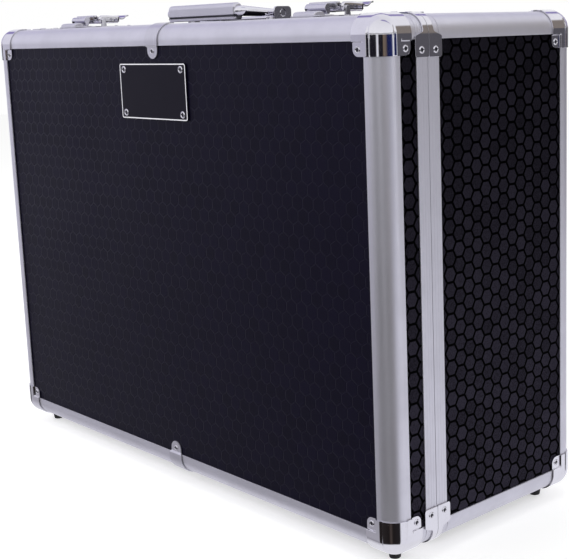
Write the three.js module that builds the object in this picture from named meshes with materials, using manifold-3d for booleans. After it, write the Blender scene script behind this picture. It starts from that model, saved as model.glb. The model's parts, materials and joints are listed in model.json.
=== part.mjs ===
// Aluminium flight case: two board shells framed in extrusions, with ball corners, latches and a handle.
// Millimetres, +Z up, lid towards -Y, origin on the ground under the middle of the case.

import * as THREE from 'three';
import { mergeVertices } from 'three/addons/utils/BufferGeometryUtils.js';
import { RoundedBoxGeometry } from 'three/addons/geometries/RoundedBoxGeometry.js';
import Module from 'manifold-3d';

const wasm = await Module();
wasm.setup();

// Case, measured over the aluminium
const caseWidth = 613;
const caseHeight = 440;
const caseDepth = 241;
const lidDepth = 51;
const footHeight = 11.5;

// Running gap between neighbouring pieces, and the overrun of cuts
const gap = 0.3;
const overrun = 2;

// Boards and extrusions
const boardThickness = 4;
const metal = 1.3;
const edgeRadius = 13;
const edgeFlange = 20;
const slotBottom = 11;
const slotLip = 6;
const bendSteps = 4;
const ballSteps = 3;
const halfJointGap = 0.4;

// Closing frame: outer band, groove in the lid, tongue on the base
const closingBand = 12.8;
const partingGap = 0.3;
const grooveDepth = 4.8;
const tongueLength = 4;
const tongueThickness = 1.5;
const tongueInset = 2.5;
const ridgeWidth = 0.9;
const ridgeDepth = 0.35;
const ridgeShares = [0.26, 0.5, 0.74];

// Pressed steel trim
const sheet = 1;
const capLeg = 32;
const capFreeRadius = 6;
const bracketLeg = 34;
const bracketWidth = 14.8;
const bracketBand = 6;
const bracketShoulderStart = 19;
const bracketShoulderEnd = 23;
const clipWidth = 20;
const clipTongueWidth = 16;
const clipReach = 32;

// Nameplate on the lid
const nameplateWidth = 108;
const nameplateHeight = 51;
const nameplateThickness = 1.5;
const nameplateRim = 1.2;
const nameplateField = 0.4;
const nameplateRadius = 4;
const nameplateDrop = 63.5;
const nameplateShift = -3.4;

// Feet
const footRadius = 6.5;
const footTaper = 1.5;
const footStubRadius = 4;
const footInset = 26;
const footSides = 20;

// Foam lining
const foamWall = 12;
const foamFloor = 15;
const lidFoamThickness = 15;
const foamRimDrop = 3;

// Hinges under the case
const hingeSideDistance = 116.5;
const hingeWidth = 46;
const hingeLeaf = 11.5;
const hingeLeafThickness = 1.2;
const knuckleRadius = 2.3;
const hingePinRadius = 1.1;
const middleKnuckleShare = 0.36;
const pinSides = 12;

// Draw latches
const latchSideDistance = 115.5;
const latchPlateWidth = 46;
const latchPlateStart = 0.9;
const latchPlateLength = 39;
const latchPlateThickness = 1.2;
const earThickness = 1.6;
const leverWidth = 36;
const leverPivotBack = 5.5;
const leverPivotHeight = 7.3;
const leverNose = 5.2;
const leverHeight = 5.6;
const leverRearHeight = 3.8;
const leverLength = 26.5;
const leverRearFloor = 3;
const leverShoulder = 5.5;
const leverSheet = 1.4;
const leverDeckStart = 16;
const leverTipLength = 6;
const leverTipRise = 2;
const leverStubRadius = 1.5;
const clawPivotBack = 10;
const clawPivotRise = 0.9;
const clawWidth = 26;
const clawBarrel = 2.6;
const clawStubRadius = 1.2;
const clawArmTop = 2.4;
const clawArmBottom = -0.8;
const clawHeadTop = 3.3;
const clawHeadStart = 19.5;
const clawReach = 30;
const clawNoseBack = 24.7;
const clawNoseThickness = 3;
const clawNoseDrop = 5.8;

// Striker plates on the lid
const strikerWidth = 36;
const strikerStart = 2;
const strikerLength = 25.5;
const strikerBumpWidth = 28;
const strikerBumpLength = 12.5;
const strikerBumpHeight = 5.2;
const strikerLipBack = 5.5;
const strikerLipLength = 2;
const strikerLipHeight = 2;

// Handle on the base
const handlePlateMargin = 3.7;
const handlePlateWidth = 24;
const handlePlateThickness = 1.5;
const handlePivotBack = 52.5;
const handlePivotHeight = 9;
const handleBossMargin = 6.5;
const handleBossWidth = 16;
const handleBossHeight = 6.6;
const handleEarHalfLength = 10.5;
const handleEarCorner = 4;
const handleEarRise = 6.1;
const handleEarThickness = 2;
const handleArmClearance = 7.8;
const handleRod = 3.5;
const handleBend = 6;
const handleReach = 40.6;
const gripRise = 2.6;
const gripHalfLength = 53.7;
const gripWidth = 10.4;
const gripHeight = 15.7;
const gripCorner = 4.5;
const rodSides = 8;
const rodBendSteps = 3;

const halfWidth = caseWidth / 2;
const halfHeight = caseHeight / 2;
const baseDepth = caseDepth - lidDepth;
const boardFace = metal + gap;
const boardBack = boardFace + boardThickness;
const innerFlange = boardBack + gap;
const liningInset = innerFlange + metal + gap;
const trimOuter = gap + sheet;
const hingeAxisDrop = knuckleRadius + gap;
const hingeSpread = halfWidth - hingeSideDistance;
const latchSpread = halfWidth - latchSideDistance;
const handleArmX = gripHalfLength + handleArmClearance;
const handleEarStart = handleArmX + handleBend + gap;
const handleEarEnd = handleEarStart + handleEarThickness;

const aluminium = new THREE.MeshStandardMaterial({ color: 0xc8c6d2, roughness: 0.42, metalness: 0.9 });
const chrome = new THREE.MeshStandardMaterial({ color: 0xd8d8de, roughness: 0.12, metalness: 1 });
const satin = new THREE.MeshStandardMaterial({ color: 0xb8b6c0, roughness: 0.38, metalness: 0.9 });
const laminate = new THREE.MeshStandardMaterial({ color: 0x1b1a22, roughness: 0.45, metalness: 0 });
const plateBlack = new THREE.MeshStandardMaterial({ color: 0x121216, roughness: 0.35, metalness: 0.3 });
const rubber = new THREE.MeshStandardMaterial({ color: 0x0e0e10, roughness: 0.8, metalness: 0 });
const foam = new THREE.MeshStandardMaterial({ color: 0x202124, roughness: 0.95, metalness: 0 });

// Mesh helpers

function cleaned(geometry) {
  const bare = geometry.index ? geometry.toNonIndexed() : geometry.clone();
  for (const name of Object.keys(bare.attributes)) {
    if (name !== 'position') bare.deleteAttribute(name);
  }
  const merged = mergeVertices(bare);
  const kept = [];
  const { array } = merged.index;
  for (let i = 0; i < array.length; i += 3) {
    const [a, b, c] = [array[i], array[i + 1], array[i + 2]];
    if (a !== b && b !== c && c !== a) kept.push(a, b, c);
  }
  merged.setIndex(kept);
  return merged;
}

function signedVolume(geometry) {
  const position = geometry.attributes.position;
  const corner = [new THREE.Vector3(), new THREE.Vector3(), new THREE.Vector3()];
  let sum = 0;
  for (let i = 0; i < geometry.index.count; i += 3) {
    corner.forEach((point, k) => point.fromBufferAttribute(position, geometry.index.getX(i + k)));
    sum += corner[0].dot(corner[1].clone().cross(corner[2]));
  }
  return sum;
}

function outward(geometry) {
  const tidy = cleaned(geometry);
  if (signedVolume(tidy) < 0) {
    const { array } = tidy.index;
    for (let i = 0; i < array.length; i += 3) {
      [array[i], array[i + 1]] = [array[i + 1], array[i]];
    }
  }
  return tidy;
}

function solid(geometry) {
  const tidy = outward(geometry);
  const vertProperties = new Float32Array(tidy.attributes.position.array);
  const triVerts = new Uint32Array(tidy.index.array);
  return new wasm.Manifold(new wasm.Mesh({ numProp: 3, vertProperties, triVerts }));
}

function geometryOf(shape) {
  const mesh = shape.getMesh();
  const geometry = new THREE.BufferGeometry();
  geometry.setAttribute('position', new THREE.Float32BufferAttribute(mesh.vertProperties, mesh.numProp));
  geometry.setIndex([...mesh.triVerts]);
  return geometry;
}

function joined(first, ...rest) {
  return rest.reduce((sum, next) => sum.add(next), first);
}

// Skin over a row of rings with equal numbers of points, looped or capped by the outline's triangles
function loft(rings, outline, looped) {
  const count = outline.length;
  const vertices = rings.flat().flatMap((point) => [point.x, point.y, point.z]);
  const faces = [];
  const spans = looped ? rings.length : rings.length - 1;
  for (let ring = 0; ring < spans; ring += 1) {
    const here = ring * count;
    const there = ((ring + 1) % rings.length) * count;
    for (let i = 0; i < count; i += 1) {
      const next = (i + 1) % count;
      faces.push(here + i, here + next, there + next);
      faces.push(here + i, there + next, there + i);
    }
  }
  if (!looped) {
    const last = (rings.length - 1) * count;
    const flipped = THREE.ShapeUtils.isClockWise(outline);
    for (const triangle of THREE.ShapeUtils.triangulateShape(outline, [])) {
      const [a, b, c] = flipped ? triangle.toReversed() : triangle;
      faces.push(c, b, a);
      faces.push(last + a, last + b, last + c);
    }
  }
  const geometry = new THREE.BufferGeometry();
  geometry.setAttribute('position', new THREE.Float32BufferAttribute(vertices, 3));
  geometry.setIndex(faces);
  return outward(geometry);
}

function box(low, high) {
  const size = high.map((value, i) => value - low[i]);
  const geometry = new THREE.BoxGeometry(...size);
  geometry.translate(...low.map((value, i) => value + size[i] / 2));
  return geometry;
}

// Outline in the plane of x and z, given a thickness along y from the given depth on.
function slab(shape, depth, thickness, curveSegments = bendSteps) {
  const geometry = new THREE.ExtrudeGeometry(shape, { depth: thickness, bevelEnabled: false, curveSegments });
  geometry.rotateX(Math.PI / 2);
  geometry.translate(0, depth + thickness, 0);
  return geometry;
}

// Outline in the plane of y and z, given a width along x from the given place on.
function strip(shape, start, width, curveSegments = bendSteps) {
  const geometry = new THREE.ExtrudeGeometry(shape, { depth: width, bevelEnabled: false, curveSegments });
  geometry.applyMatrix4(new THREE.Matrix4().makeBasis(
    new THREE.Vector3(0, 1, 0),
    new THREE.Vector3(0, 0, 1),
    new THREE.Vector3(1, 0, 0),
  ));
  geometry.translate(start, 0, 0);
  return geometry;
}

function outlineOf(points) {
  return new THREE.Shape(points.map(([x, y]) => new THREE.Vector2(x, y)));
}

function roundedRectangle(halfX, halfZ, radius) {
  const shape = new THREE.Shape();
  shape.absarc(halfX - radius, halfZ - radius, radius, 0, Math.PI / 2);
  shape.absarc(radius - halfX, halfZ - radius, radius, Math.PI / 2, Math.PI);
  shape.absarc(radius - halfX, radius - halfZ, radius, Math.PI, Math.PI * 1.5);
  shape.absarc(halfX - radius, radius - halfZ, radius, Math.PI * 1.5, Math.PI * 2);
  return shape;
}

function rodAlongX(radius, start, end, y, z, sides = pinSides) {
  const geometry = new THREE.CylinderGeometry(radius, radius, end - start, sides);
  geometry.rotateZ(Math.PI / 2);
  geometry.translate((start + end) / 2, y, z);
  return geometry;
}

// Frames that follow the case's outline. A station places a point by its inset from the outline.

function cornerStation(signX, signZ, angle) {
  return (inset) => {
    const centre = Math.max(edgeRadius, inset);
    const reach = Math.max(edgeRadius - inset, 0);
    const x = signX * (halfWidth - centre) + reach * Math.cos(angle);
    const z = signZ * (halfHeight - centre) + reach * Math.sin(angle);
    return [x, z];
  };
}

function cornerStations(signX, signZ, startAngle) {
  const quarter = Math.PI / 2;
  return Array.from({ length: bendSteps + 1 }, (unused, step) => (
    cornerStation(signX, signZ, startAngle + (quarter * step) / bendSteps)
  ));
}

function fullRound() {
  return [
    ...cornerStations(1, 1, 0),
    ...cornerStations(-1, 1, Math.PI / 2),
    ...cornerStations(-1, -1, Math.PI),
    ...cornerStations(1, -1, Math.PI * 1.5),
  ];
}

function rightHalfRound() {
  const start = halfJointGap / 2;
  return [
    (inset) => [start, inset - halfHeight],
    ...cornerStations(1, -1, Math.PI * 1.5),
    ...cornerStations(1, 1, 0),
    (inset) => [start, halfHeight - inset],
  ];
}

// Section points are pairs of inset from the outline and depth behind the shell's face.
function frameAlong(section, stations, looped) {
  const rings = stations.map((place) => section.map(([inset, depth]) => {
    const [x, z] = place(inset);
    return new THREE.Vector3(x, depth, z);
  }));
  const outline = section.map(([inset, depth]) => new THREE.Vector2(inset, depth));
  return loft(rings, outline, looped);
}

function arcPoints(centreX, centreY, radius, from, to, steps) {
  return Array.from({ length: steps + 1 }, (unused, step) => {
    const angle = from + ((to - from) * step) / steps;
    return [centreX + radius * Math.cos(angle), centreY + radius * Math.sin(angle)];
  });
}

// Edge extrusion with a rounded back and two slots, one for the panel and one for the wall
function edgeSection() {
  const lipEnd = slotBottom + slotLip;
  const webBack = slotBottom - metal;
  const lipBack = innerFlange + metal;
  const innerRadius = edgeRadius - metal;
  const sweepTrim = Math.asin((edgeRadius - webBack) / innerRadius);
  const sweepStart = Math.PI + sweepTrim;
  const sweepEnd = Math.PI * 1.5 - sweepTrim;
  return [
    [edgeFlange, 0],
    ...arcPoints(edgeRadius, edgeRadius, edgeRadius, Math.PI * 1.5, Math.PI, bendSteps),
    [0, edgeFlange],
    [metal, edgeFlange],
    [metal, slotBottom],
    [innerFlange, slotBottom],
    [innerFlange, lipEnd],
    [lipBack, lipEnd],
    [lipBack, webBack],
    ...arcPoints(edgeRadius, edgeRadius, innerRadius, sweepStart, sweepEnd, bendSteps),
    [webBack, lipBack],
    [lipEnd, lipBack],
    [lipEnd, innerFlange],
    [slotBottom, innerFlange],
    [slotBottom, metal],
    [edgeFlange, metal],
  ];
}

function ridgePoints(face, sense) {
  return ridgeShares.flatMap((share) => {
    const middle = face + sense * closingBand * share;
    const half = (sense * ridgeWidth) / 2;
    return [
      [0, middle - half],
      [ridgeDepth, middle],
      [0, middle + half],
    ];
  });
}

// Closing profile: a fine-ridged band outside, a slot for the wall, and groove or tongue at the parting face
function grooveSection(shellDepth) {
  const face = shellDepth - partingGap / 2;
  const bandEnd = face - closingBand;
  const webFront = face - grooveDepth;
  const webBack = webFront - metal;
  const flangeBack = innerFlange + metal;
  return [
    [0, face],
    ...ridgePoints(face, -1),
    [0, bandEnd],
    [metal, bandEnd],
    [metal, webBack],
    [innerFlange, webBack],
    [innerFlange, bandEnd],
    [flangeBack, bandEnd],
    [flangeBack, face],
    [innerFlange, face],
    [innerFlange, webFront],
    [metal, webFront],
    [metal, face],
  ];
}

function tongueSection(shellDepth) {
  const face = shellDepth - partingGap / 2;
  const bandEnd = face - closingBand;
  const webBack = face - metal;
  const flangeBack = innerFlange + metal;
  const tip = face + tongueLength;
  const tongueBack = tongueInset + tongueThickness;
  return [
    [0, face],
    ...ridgePoints(face, -1),
    [0, bandEnd],
    [metal, bandEnd],
    [metal, webBack],
    [innerFlange, webBack],
    [innerFlange, bandEnd],
    [flangeBack, bandEnd],
    [flangeBack, face],
    [tongueBack, face],
    [tongueBack, tip],
    [tongueInset, tip],
    [tongueInset, face],
  ];
}

function wallRing(shellDepth, slotDepth) {
  const start = slotBottom + gap;
  const end = shellDepth - partingGap / 2 - slotDepth - gap;
  const section = [[boardFace, start], [boardFace, end], [boardBack, end], [boardBack, start]];
  return frameAlong(section, fullRound(), true);
}

function panelBoard() {
  const inset = slotBottom + gap;
  const outline = roundedRectangle(halfWidth - inset, halfHeight - inset, edgeRadius - inset);
  return slab(outline, boardFace, boardThickness);
}

// Rounded strip over the corner of the wall, from the edge flange to the closing band
function cornerStrip(shellDepth) {
  const start = edgeFlange + gap;
  const end = shellDepth - partingGap / 2 - closingBand - gap;
  const centre = edgeRadius;
  const outline = outlineOf([
    [edgeFlange, 0],
    ...arcPoints(centre, centre, edgeRadius, Math.PI * 1.5, Math.PI, bendSteps),
    [0, edgeFlange],
    [metal, edgeFlange],
    ...arcPoints(centre, centre, edgeRadius - metal, Math.PI, Math.PI * 1.5, bendSteps),
    [edgeFlange, metal],
  ]);
  return slab(outline, start, end - start);
}

// Ball corner: a pressed shell over three faces, with a riveting tab stepped down to the board on each face.
// Its corner is the origin, and it reaches along +x, +y and +z.

function turnedThroughAxes(makeSolid) {
  const cycle = new THREE.Matrix4().makeBasis(
    new THREE.Vector3(0, 1, 0),
    new THREE.Vector3(0, 0, 1),
    new THREE.Vector3(1, 0, 0),
  );
  const turn = new THREE.Matrix4();
  return [0, 1, 2].map(() => {
    const placed = makeSolid().applyMatrix4(turn);
    turn.multiply(cycle);
    return solid(placed);
  });
}

function roundedBlock(start, radius) {
  const size = 2 * (capLeg + overrun) - start;
  const geometry = new RoundedBoxGeometry(size, size, size, ballSteps, radius);
  geometry.translate(start + size / 2, start + size / 2, start + size / 2);
  return geometry;
}

function ballCorner() {
  const tabStart = edgeFlange + gap;
  const tabInner = tabStart + sheet;
  const outside = -trimOuter - overrun;
  const limit = solid(box([outside, outside, outside], [capLeg, capLeg, capLeg]));
  const outer = solid(roundedBlock(-trimOuter, edgeRadius + trimOuter)).intersect(limit);
  const shell = outer.subtract(solid(roundedBlock(-gap, edgeRadius + gap)));
  const tabs = turnedThroughAxes(() => box([tabStart, -trimOuter, tabStart], [capLeg, metal, capLeg]));
  const recesses = turnedThroughAxes(() => (
    box([tabInner, outside, tabInner], [capLeg + overrun, metal - sheet, capLeg + overrun])
  ));
  const freeCorners = turnedThroughAxes(() => {
    const start = capLeg - capFreeRadius;
    const outline = outlineOf([
      ...arcPoints(start, start, capFreeRadius, 0, Math.PI / 2, bendSteps),
      [start, capLeg + overrun],
      [capLeg + overrun, capLeg + overrun],
      [capLeg + overrun, start],
    ]);
    return slab(outline, outside, metal + overrun - outside);
  });
  let cap = joined(shell, ...tabs);
  for (const cut of [...recesses, ...freeCorners]) {
    cap = cap.subtract(cut);
  }
  return geometryOf(cap);
}

// Bracket round a corner of the closing frame: a plate on each face and a narrow band over the bend.
// Its depth runs from the parting face back over the shell.
function closingBracket() {
  const front = partingGap / 2;
  const wrap = outlineOf([
    [bracketLeg, -trimOuter],
    ...arcPoints(edgeRadius, edgeRadius, edgeRadius + trimOuter, Math.PI * 1.5, Math.PI, bendSteps),
    [-trimOuter, bracketLeg],
    [-gap, bracketLeg],
    ...arcPoints(edgeRadius, edgeRadius, edgeRadius + gap, Math.PI, Math.PI * 1.5, bendSteps),
    [bracketLeg, -gap],
  ]);
  const band = solid(slab(wrap, front, bracketBand - front));
  const plate = outlineOf([
    [front, bracketShoulderStart],
    [bracketBand, bracketShoulderStart],
    [bracketWidth, bracketShoulderEnd],
    [bracketWidth, bracketLeg],
    [front, bracketLeg],
  ]);
  const sidePlate = strip(plate, -trimOuter, sheet);
  const topPlate = sidePlate.clone();
  topPlate.applyMatrix4(new THREE.Matrix4().makeBasis(
    new THREE.Vector3(0, 0, 1),
    new THREE.Vector3(0, 1, 0),
    new THREE.Vector3(1, 0, 0),
  ));
  return geometryOf(joined(band, solid(sidePlate), solid(topPlate)));
}

// Clip over the joint of the two edge halves, with a rounded tongue stepped down to the panel.
// Depth is y, and z runs from the edge in over the face.
function edgeClip() {
  const stepStart = edgeFlange + gap;
  const stepEnd = stepStart + sheet;
  const profile = outlineOf([
    [edgeFlange, -trimOuter],
    ...arcPoints(edgeRadius, edgeRadius, edgeRadius + trimOuter, Math.PI * 1.5, Math.PI, bendSteps),
    [-trimOuter, stepEnd],
    [metal - sheet, stepEnd],
    [metal - sheet, clipReach],
    [metal, clipReach],
    [metal, stepStart],
    [-gap, stepStart],
    ...arcPoints(edgeRadius, edgeRadius, edgeRadius + gap, Math.PI, Math.PI * 1.5, bendSteps),
    [edgeFlange, -gap],
  ]);
  const body = solid(strip(profile, -clipWidth / 2, clipWidth));
  const tongue = clipTongueWidth / 2;
  const tongueCentre = clipReach - tongue;
  const keep = outlineOf([
    [-clipWidth, -trimOuter - overrun],
    [clipWidth, -trimOuter - overrun],
    [clipWidth, stepStart],
    [tongue, stepEnd],
    ...arcPoints(0, tongueCentre, tongue, 0, Math.PI, 2 * bendSteps),
    [-tongue, stepEnd],
    [-clipWidth, stepStart],
  ]);
  const reach = edgeFlange + 2 * (trimOuter + overrun);
  return geometryOf(body.intersect(solid(slab(keep, -trimOuter - overrun, reach))));
}

function nameplateBody() {
  const back = boardFace - gap;
  const halfX = nameplateWidth / 2;
  const halfZ = nameplateHeight / 2;
  const front = back - nameplateThickness;
  const body = solid(slab(roundedRectangle(halfX, halfZ, nameplateRadius), front, nameplateThickness));
  const field = roundedRectangle(halfX - nameplateRim, halfZ - nameplateRim, nameplateRadius - nameplateRim);
  const recess = slab(field, front - overrun, overrun + nameplateField);
  return geometryOf(body.subtract(solid(recess)));
}

// Foot of rubber, its stub in the riveting tab of the ball corner, its height along z from the ground
function rubberFoot() {
  const top = footHeight - trimOuter - gap;
  const profile = [
    [0, 0],
    [footRadius - footTaper, 0],
    [footRadius, top],
    [footStubRadius, top],
    [footStubRadius, footHeight],
    [0, footHeight],
  ].map(([radius, height]) => new THREE.Vector2(radius, height));
  const geometry = new THREE.LatheGeometry(profile, footSides);
  geometry.rotateX(Math.PI / 2);
  return outward(geometry);
}

// Foam with a rebate round its back, so that it passes between the lips of the edge extrusion
function foamBlock(front) {
  const seat = boardBack + gap;
  const shoulder = innerFlange + metal + gap;
  const lip = slotBottom + slotLip + gap;
  const halfX = halfWidth - liningInset;
  const halfZ = halfHeight - liningInset;
  const outline = roundedRectangle(halfX, halfZ, edgeRadius - liningInset);
  const narrow = box([lip - halfWidth, seat, lip - halfHeight], [halfWidth - lip, front, halfHeight - lip]);
  return solid(slab(outline, shoulder, front - shoulder)).add(solid(narrow));
}

function lidFoam() {
  return geometryOf(foamBlock(boardBack + gap + lidFoamThickness));
}

function baseFoam() {
  const rim = baseDepth - foamRimDrop;
  const wall = liningInset + foamWall;
  const floor = boardBack + gap + foamFloor;
  const hollow = box([wall - halfWidth, floor, wall - halfHeight],
    [halfWidth - wall, rim + overrun, halfHeight - wall]);
  return geometryOf(foamBlock(rim).subtract(solid(hollow)));
}

// Hinge leaves under the case. Depth y is measured from the hinge pin back over the leaf's own shell.

function hingePlate() {
  const half = hingeWidth / 2;
  const start = knuckleRadius + gap;
  return box([-half, start, -hingeLeafThickness - gap], [half, start + hingeLeaf, -gap]);
}

function knuckle(start, end) {
  const barrel = solid(rodAlongX(knuckleRadius, start, end, 0, -hingeAxisDrop));
  const neck = box([start, 0, -hingeLeafThickness - gap], [end, knuckleRadius + 2 * gap, -gap]);
  return barrel.add(solid(neck));
}

function outerLeaf() {
  const middle = (hingeWidth * middleKnuckleShare) / 2 + gap;
  const bore = solid(rodAlongX(hingePinRadius + gap, -hingeWidth, hingeWidth, 0, -hingeAxisDrop));
  const left = knuckle(-hingeWidth / 2, -middle);
  const right = knuckle(middle, hingeWidth / 2);
  return geometryOf(joined(solid(hingePlate()), left, right).subtract(bore));
}

function innerLeaf() {
  const middle = (hingeWidth * middleKnuckleShare) / 2;
  const pin = solid(rodAlongX(hingePinRadius, -hingeWidth / 2, hingeWidth / 2, 0, -hingeAxisDrop));
  return geometryOf(joined(solid(hingePlate()), knuckle(-middle, middle), pin));
}

// Draw latch. Depth y is measured from the parting line back over the base, and height z from the case's top.

function latchPlate() {
  const half = latchPlateWidth / 2;
  const plate = solid(box([-half, latchPlateStart, gap],
    [half, latchPlateStart + latchPlateLength, gap + latchPlateThickness]));
  const earInner = leverWidth / 2 + gap;
  const ear = outlineOf([
    [leverPivotBack + leverNose, gap],
    ...arcPoints(leverPivotBack, leverPivotHeight, leverNose, 0, Math.PI, 2 * bendSteps),
    [leverPivotBack - leverNose, gap],
  ]);
  const stubEnd = earInner - gap - earThickness;
  const parts = [plate];
  for (const side of [1, -1]) {
    const start = side > 0 ? earInner : -earInner - earThickness;
    parts.push(solid(strip(ear, start, earThickness)));
    const ends = [side * stubEnd, side * (earInner + earThickness / 2)].sort((a, b) => a - b);
    parts.push(solid(rodAlongX(leverStubRadius, ...ends, leverPivotBack, leverPivotHeight)));
  }
  return geometryOf(joined(...parts));
}

// Lever about its own pivot: two cheeks with a rounded nose, a deck behind the claw and a flared thumb tip
function latchLever() {
  const half = leverWidth / 2;
  const cheek = outlineOf([
    [leverShoulder, leverHeight],
    ...arcPoints(0, 0, leverNose, Math.PI / 2, Math.PI * 1.5, 2 * bendSteps),
    [leverLength, -leverRearFloor],
    [leverLength, leverRearHeight],
  ]);
  const deckShare = (leverDeckStart - leverShoulder) / (leverLength - leverShoulder);
  const deckHeight = leverHeight + (leverRearHeight - leverHeight) * deckShare;
  const deck = outlineOf([
    [leverDeckStart, deckHeight - leverSheet],
    [leverLength, leverRearHeight - leverSheet],
    [leverLength + leverTipLength, leverRearHeight - leverSheet + leverTipRise],
    [leverLength + leverTipLength, leverRearHeight + leverTipRise],
    [leverLength, leverRearHeight],
    [leverDeckStart, deckHeight],
  ]);
  const lever = joined(
    solid(strip(deck, -half, leverWidth)),
    solid(strip(cheek, -half, earThickness)),
    solid(strip(cheek, half - earThickness, earThickness)),
  );
  const pivotHole = solid(rodAlongX(leverStubRadius + gap, -leverWidth, leverWidth, 0, 0));
  const clawBore = clawStubRadius + gap;
  const clawHole = solid(rodAlongX(clawBore, -leverWidth, leverWidth, clawPivotBack, clawPivotRise));
  return geometryOf(lever.subtract(pivotHole).subtract(clawHole));
}

// Claw about its pivot in the lever, reaching forward to the striker
function latchClaw() {
  const headRound = clawHeadTop - clawArmBottom;
  const outline = outlineOf([
    [0, clawArmTop],
    [-clawHeadStart + clawHeadTop - clawArmTop, clawArmTop],
    [-clawHeadStart, clawHeadTop],
    ...arcPoints(headRound - clawReach, clawArmBottom, headRound, Math.PI / 2, Math.PI, bendSteps),
    [-clawNoseBack - clawNoseThickness, -clawNoseDrop],
    [-clawNoseBack, -clawNoseDrop],
    [-clawNoseBack + clawNoseThickness / 2, clawArmBottom],
    [0, clawArmBottom],
  ]);
  const half = clawWidth / 2;
  const stub = leverWidth / 2 - gap;
  return geometryOf(joined(
    solid(strip(outline, -half, clawWidth)),
    solid(rodAlongX(clawBarrel, -half, half, 0, 0)),
    solid(rodAlongX(clawStubRadius, -stub, stub, 0, 0)),
  ));
}

// Striker on the lid. Depth y is measured from the parting line forward over the lid.
function striker() {
  const half = strikerWidth / 2;
  const bumpHalfWidth = strikerBumpWidth / 2;
  const end = strikerStart + strikerLength;
  const top = gap + latchPlateThickness;
  const plate = solid(box([-half, strikerStart, gap], [half, end, top]));
  const bumpHalf = strikerBumpLength / 2;
  const bumpCentre = end - bumpHalf;
  const bumpRise = strikerBumpHeight - gap;
  const bump = outlineOf([
    ...arcPoints(0, 0, 1, 0, Math.PI, 2 * bendSteps)
      .map(([along, up]) => [bumpCentre + bumpHalf * along, gap + bumpRise * Math.sqrt(up)]),
  ]);
  const lip = box([-bumpHalfWidth, strikerLipBack, gap],
    [bumpHalfWidth, strikerLipBack + strikerLipLength, strikerLipHeight]);
  return geometryOf(joined(plate, solid(strip(bump, -bumpHalfWidth, strikerBumpWidth)), solid(lip)));
}

// Handle. Depth y is measured from the pivots, the grip in front of them, and height z from the board.

function handlePlate() {
  const half = handleEarEnd + handlePlateMargin;
  const outline = roundedRectangle(half, handlePlateWidth / 2, handlePlateWidth / 4);
  const plate = solid(slab(outline, 0, handlePlateThickness).rotateX(Math.PI / 2).translate(0, 0, gap));
  const earFlat = handleEarHalfLength - handleEarCorner;
  const earShoulder = handlePivotHeight + handleEarRise - handleEarCorner;
  const ear = outlineOf([
    [handleEarHalfLength, gap],
    ...arcPoints(earFlat, earShoulder, handleEarCorner, 0, Math.PI / 2, bendSteps),
    ...arcPoints(-earFlat, earShoulder, handleEarCorner, Math.PI / 2, Math.PI, bendSteps),
    [-handleEarHalfLength, gap],
  ]);
  const bossHalf = handleArmX - handleBossMargin;
  const boss = box([-bossHalf, -handleBossWidth / 2, gap], [bossHalf, handleBossWidth / 2, handleBossHeight]);
  const parts = [plate, solid(boss)];
  for (const start of [handleEarStart, -handleEarEnd]) {
    parts.push(solid(strip(ear, start, handleEarThickness)));
  }
  const hole = solid(rodAlongX(handleRod + gap, -caseWidth, caseWidth, 0, handlePivotHeight));
  return geometryOf(joined(...parts).subtract(hole));
}

// Points of a path of straight runs with rounded bends
function roundedPath(corners, radius) {
  const points = [corners[0]];
  for (let i = 1; i < corners.length - 1; i += 1) {
    const before = corners[i - 1].clone().sub(corners[i]).setLength(radius).add(corners[i]);
    const after = corners[i + 1].clone().sub(corners[i]).setLength(radius).add(corners[i]);
    const bend = new THREE.QuadraticBezierCurve3(before, corners[i], after);
    points.push(...bend.getPoints(rodBendSteps));
  }
  points.push(corners[corners.length - 1]);
  return points;
}

function rodAlong(points, radius, sides) {
  const tangents = points.map((point, i) => {
    const before = points[Math.max(i - 1, 0)];
    const after = points[Math.min(i + 1, points.length - 1)];
    return after.clone().sub(before).normalize();
  });
  let side = new THREE.Vector3(0, 0, 1).cross(tangents[0]).normalize();
  const rings = points.map((point, i) => {
    side = side.sub(tangents[i].clone().multiplyScalar(side.dot(tangents[i]))).normalize();
    const up = tangents[i].clone().cross(side);
    return Array.from({ length: sides }, (unused, k) => {
      const angle = (2 * Math.PI * k) / sides;
      return point.clone()
        .addScaledVector(side, radius * Math.cos(angle))
        .addScaledVector(up, radius * Math.sin(angle));
    });
  });
  const outline = arcPoints(0, 0, 1, 0, 2 * Math.PI, sides).slice(0, sides)
    .map(([x, y]) => new THREE.Vector2(x, y));
  return loft(rings, outline, false);
}

function handleBail() {
  const pinEnd = handleEarEnd;
  const corners = [
    new THREE.Vector3(-pinEnd, 0, 0),
    new THREE.Vector3(-handleArmX, 0, 0),
    new THREE.Vector3(-handleArmX, -handleReach, gripRise),
    new THREE.Vector3(handleArmX, -handleReach, gripRise),
    new THREE.Vector3(handleArmX, 0, 0),
    new THREE.Vector3(pinEnd, 0, 0),
  ];
  return rodAlong(roundedPath(corners, handleBend), handleRod, rodSides);
}

function handleGrip() {
  const outline = roundedRectangle(gripWidth / 2, gripHeight / 2, gripCorner);
  const shape = outlineOf(outline.getPoints(bendSteps).map(({ x, y }) => [x - handleReach, y + gripRise]));
  const body = solid(strip(shape, -gripHalfLength, 2 * gripHalfLength));
  const bore = solid(rodAlongX(handleRod + gap, -caseWidth, caseWidth, -handleReach, gripRise));
  return geometryOf(body.subtract(bore));
}

// Assembly

function named(name, geometry, material) {
  const mesh = new THREE.Mesh(geometry, material);
  mesh.name = name;
  return mesh;
}

const cornerPlaces = [
  ['top_left', -1, 1],
  ['top_right', 1, 1],
  ['bottom_left', -1, -1],
  ['bottom_right', 1, -1],
];
const sidePlaces = [['left', -1], ['right', 1]];
const capGeometry = ballCorner();
const bracketGeometry = closingBracket();
const clipGeometry = edgeClip();
const edgeGeometry = frameAlong(edgeSection(), rightHalfRound(), false);

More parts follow.
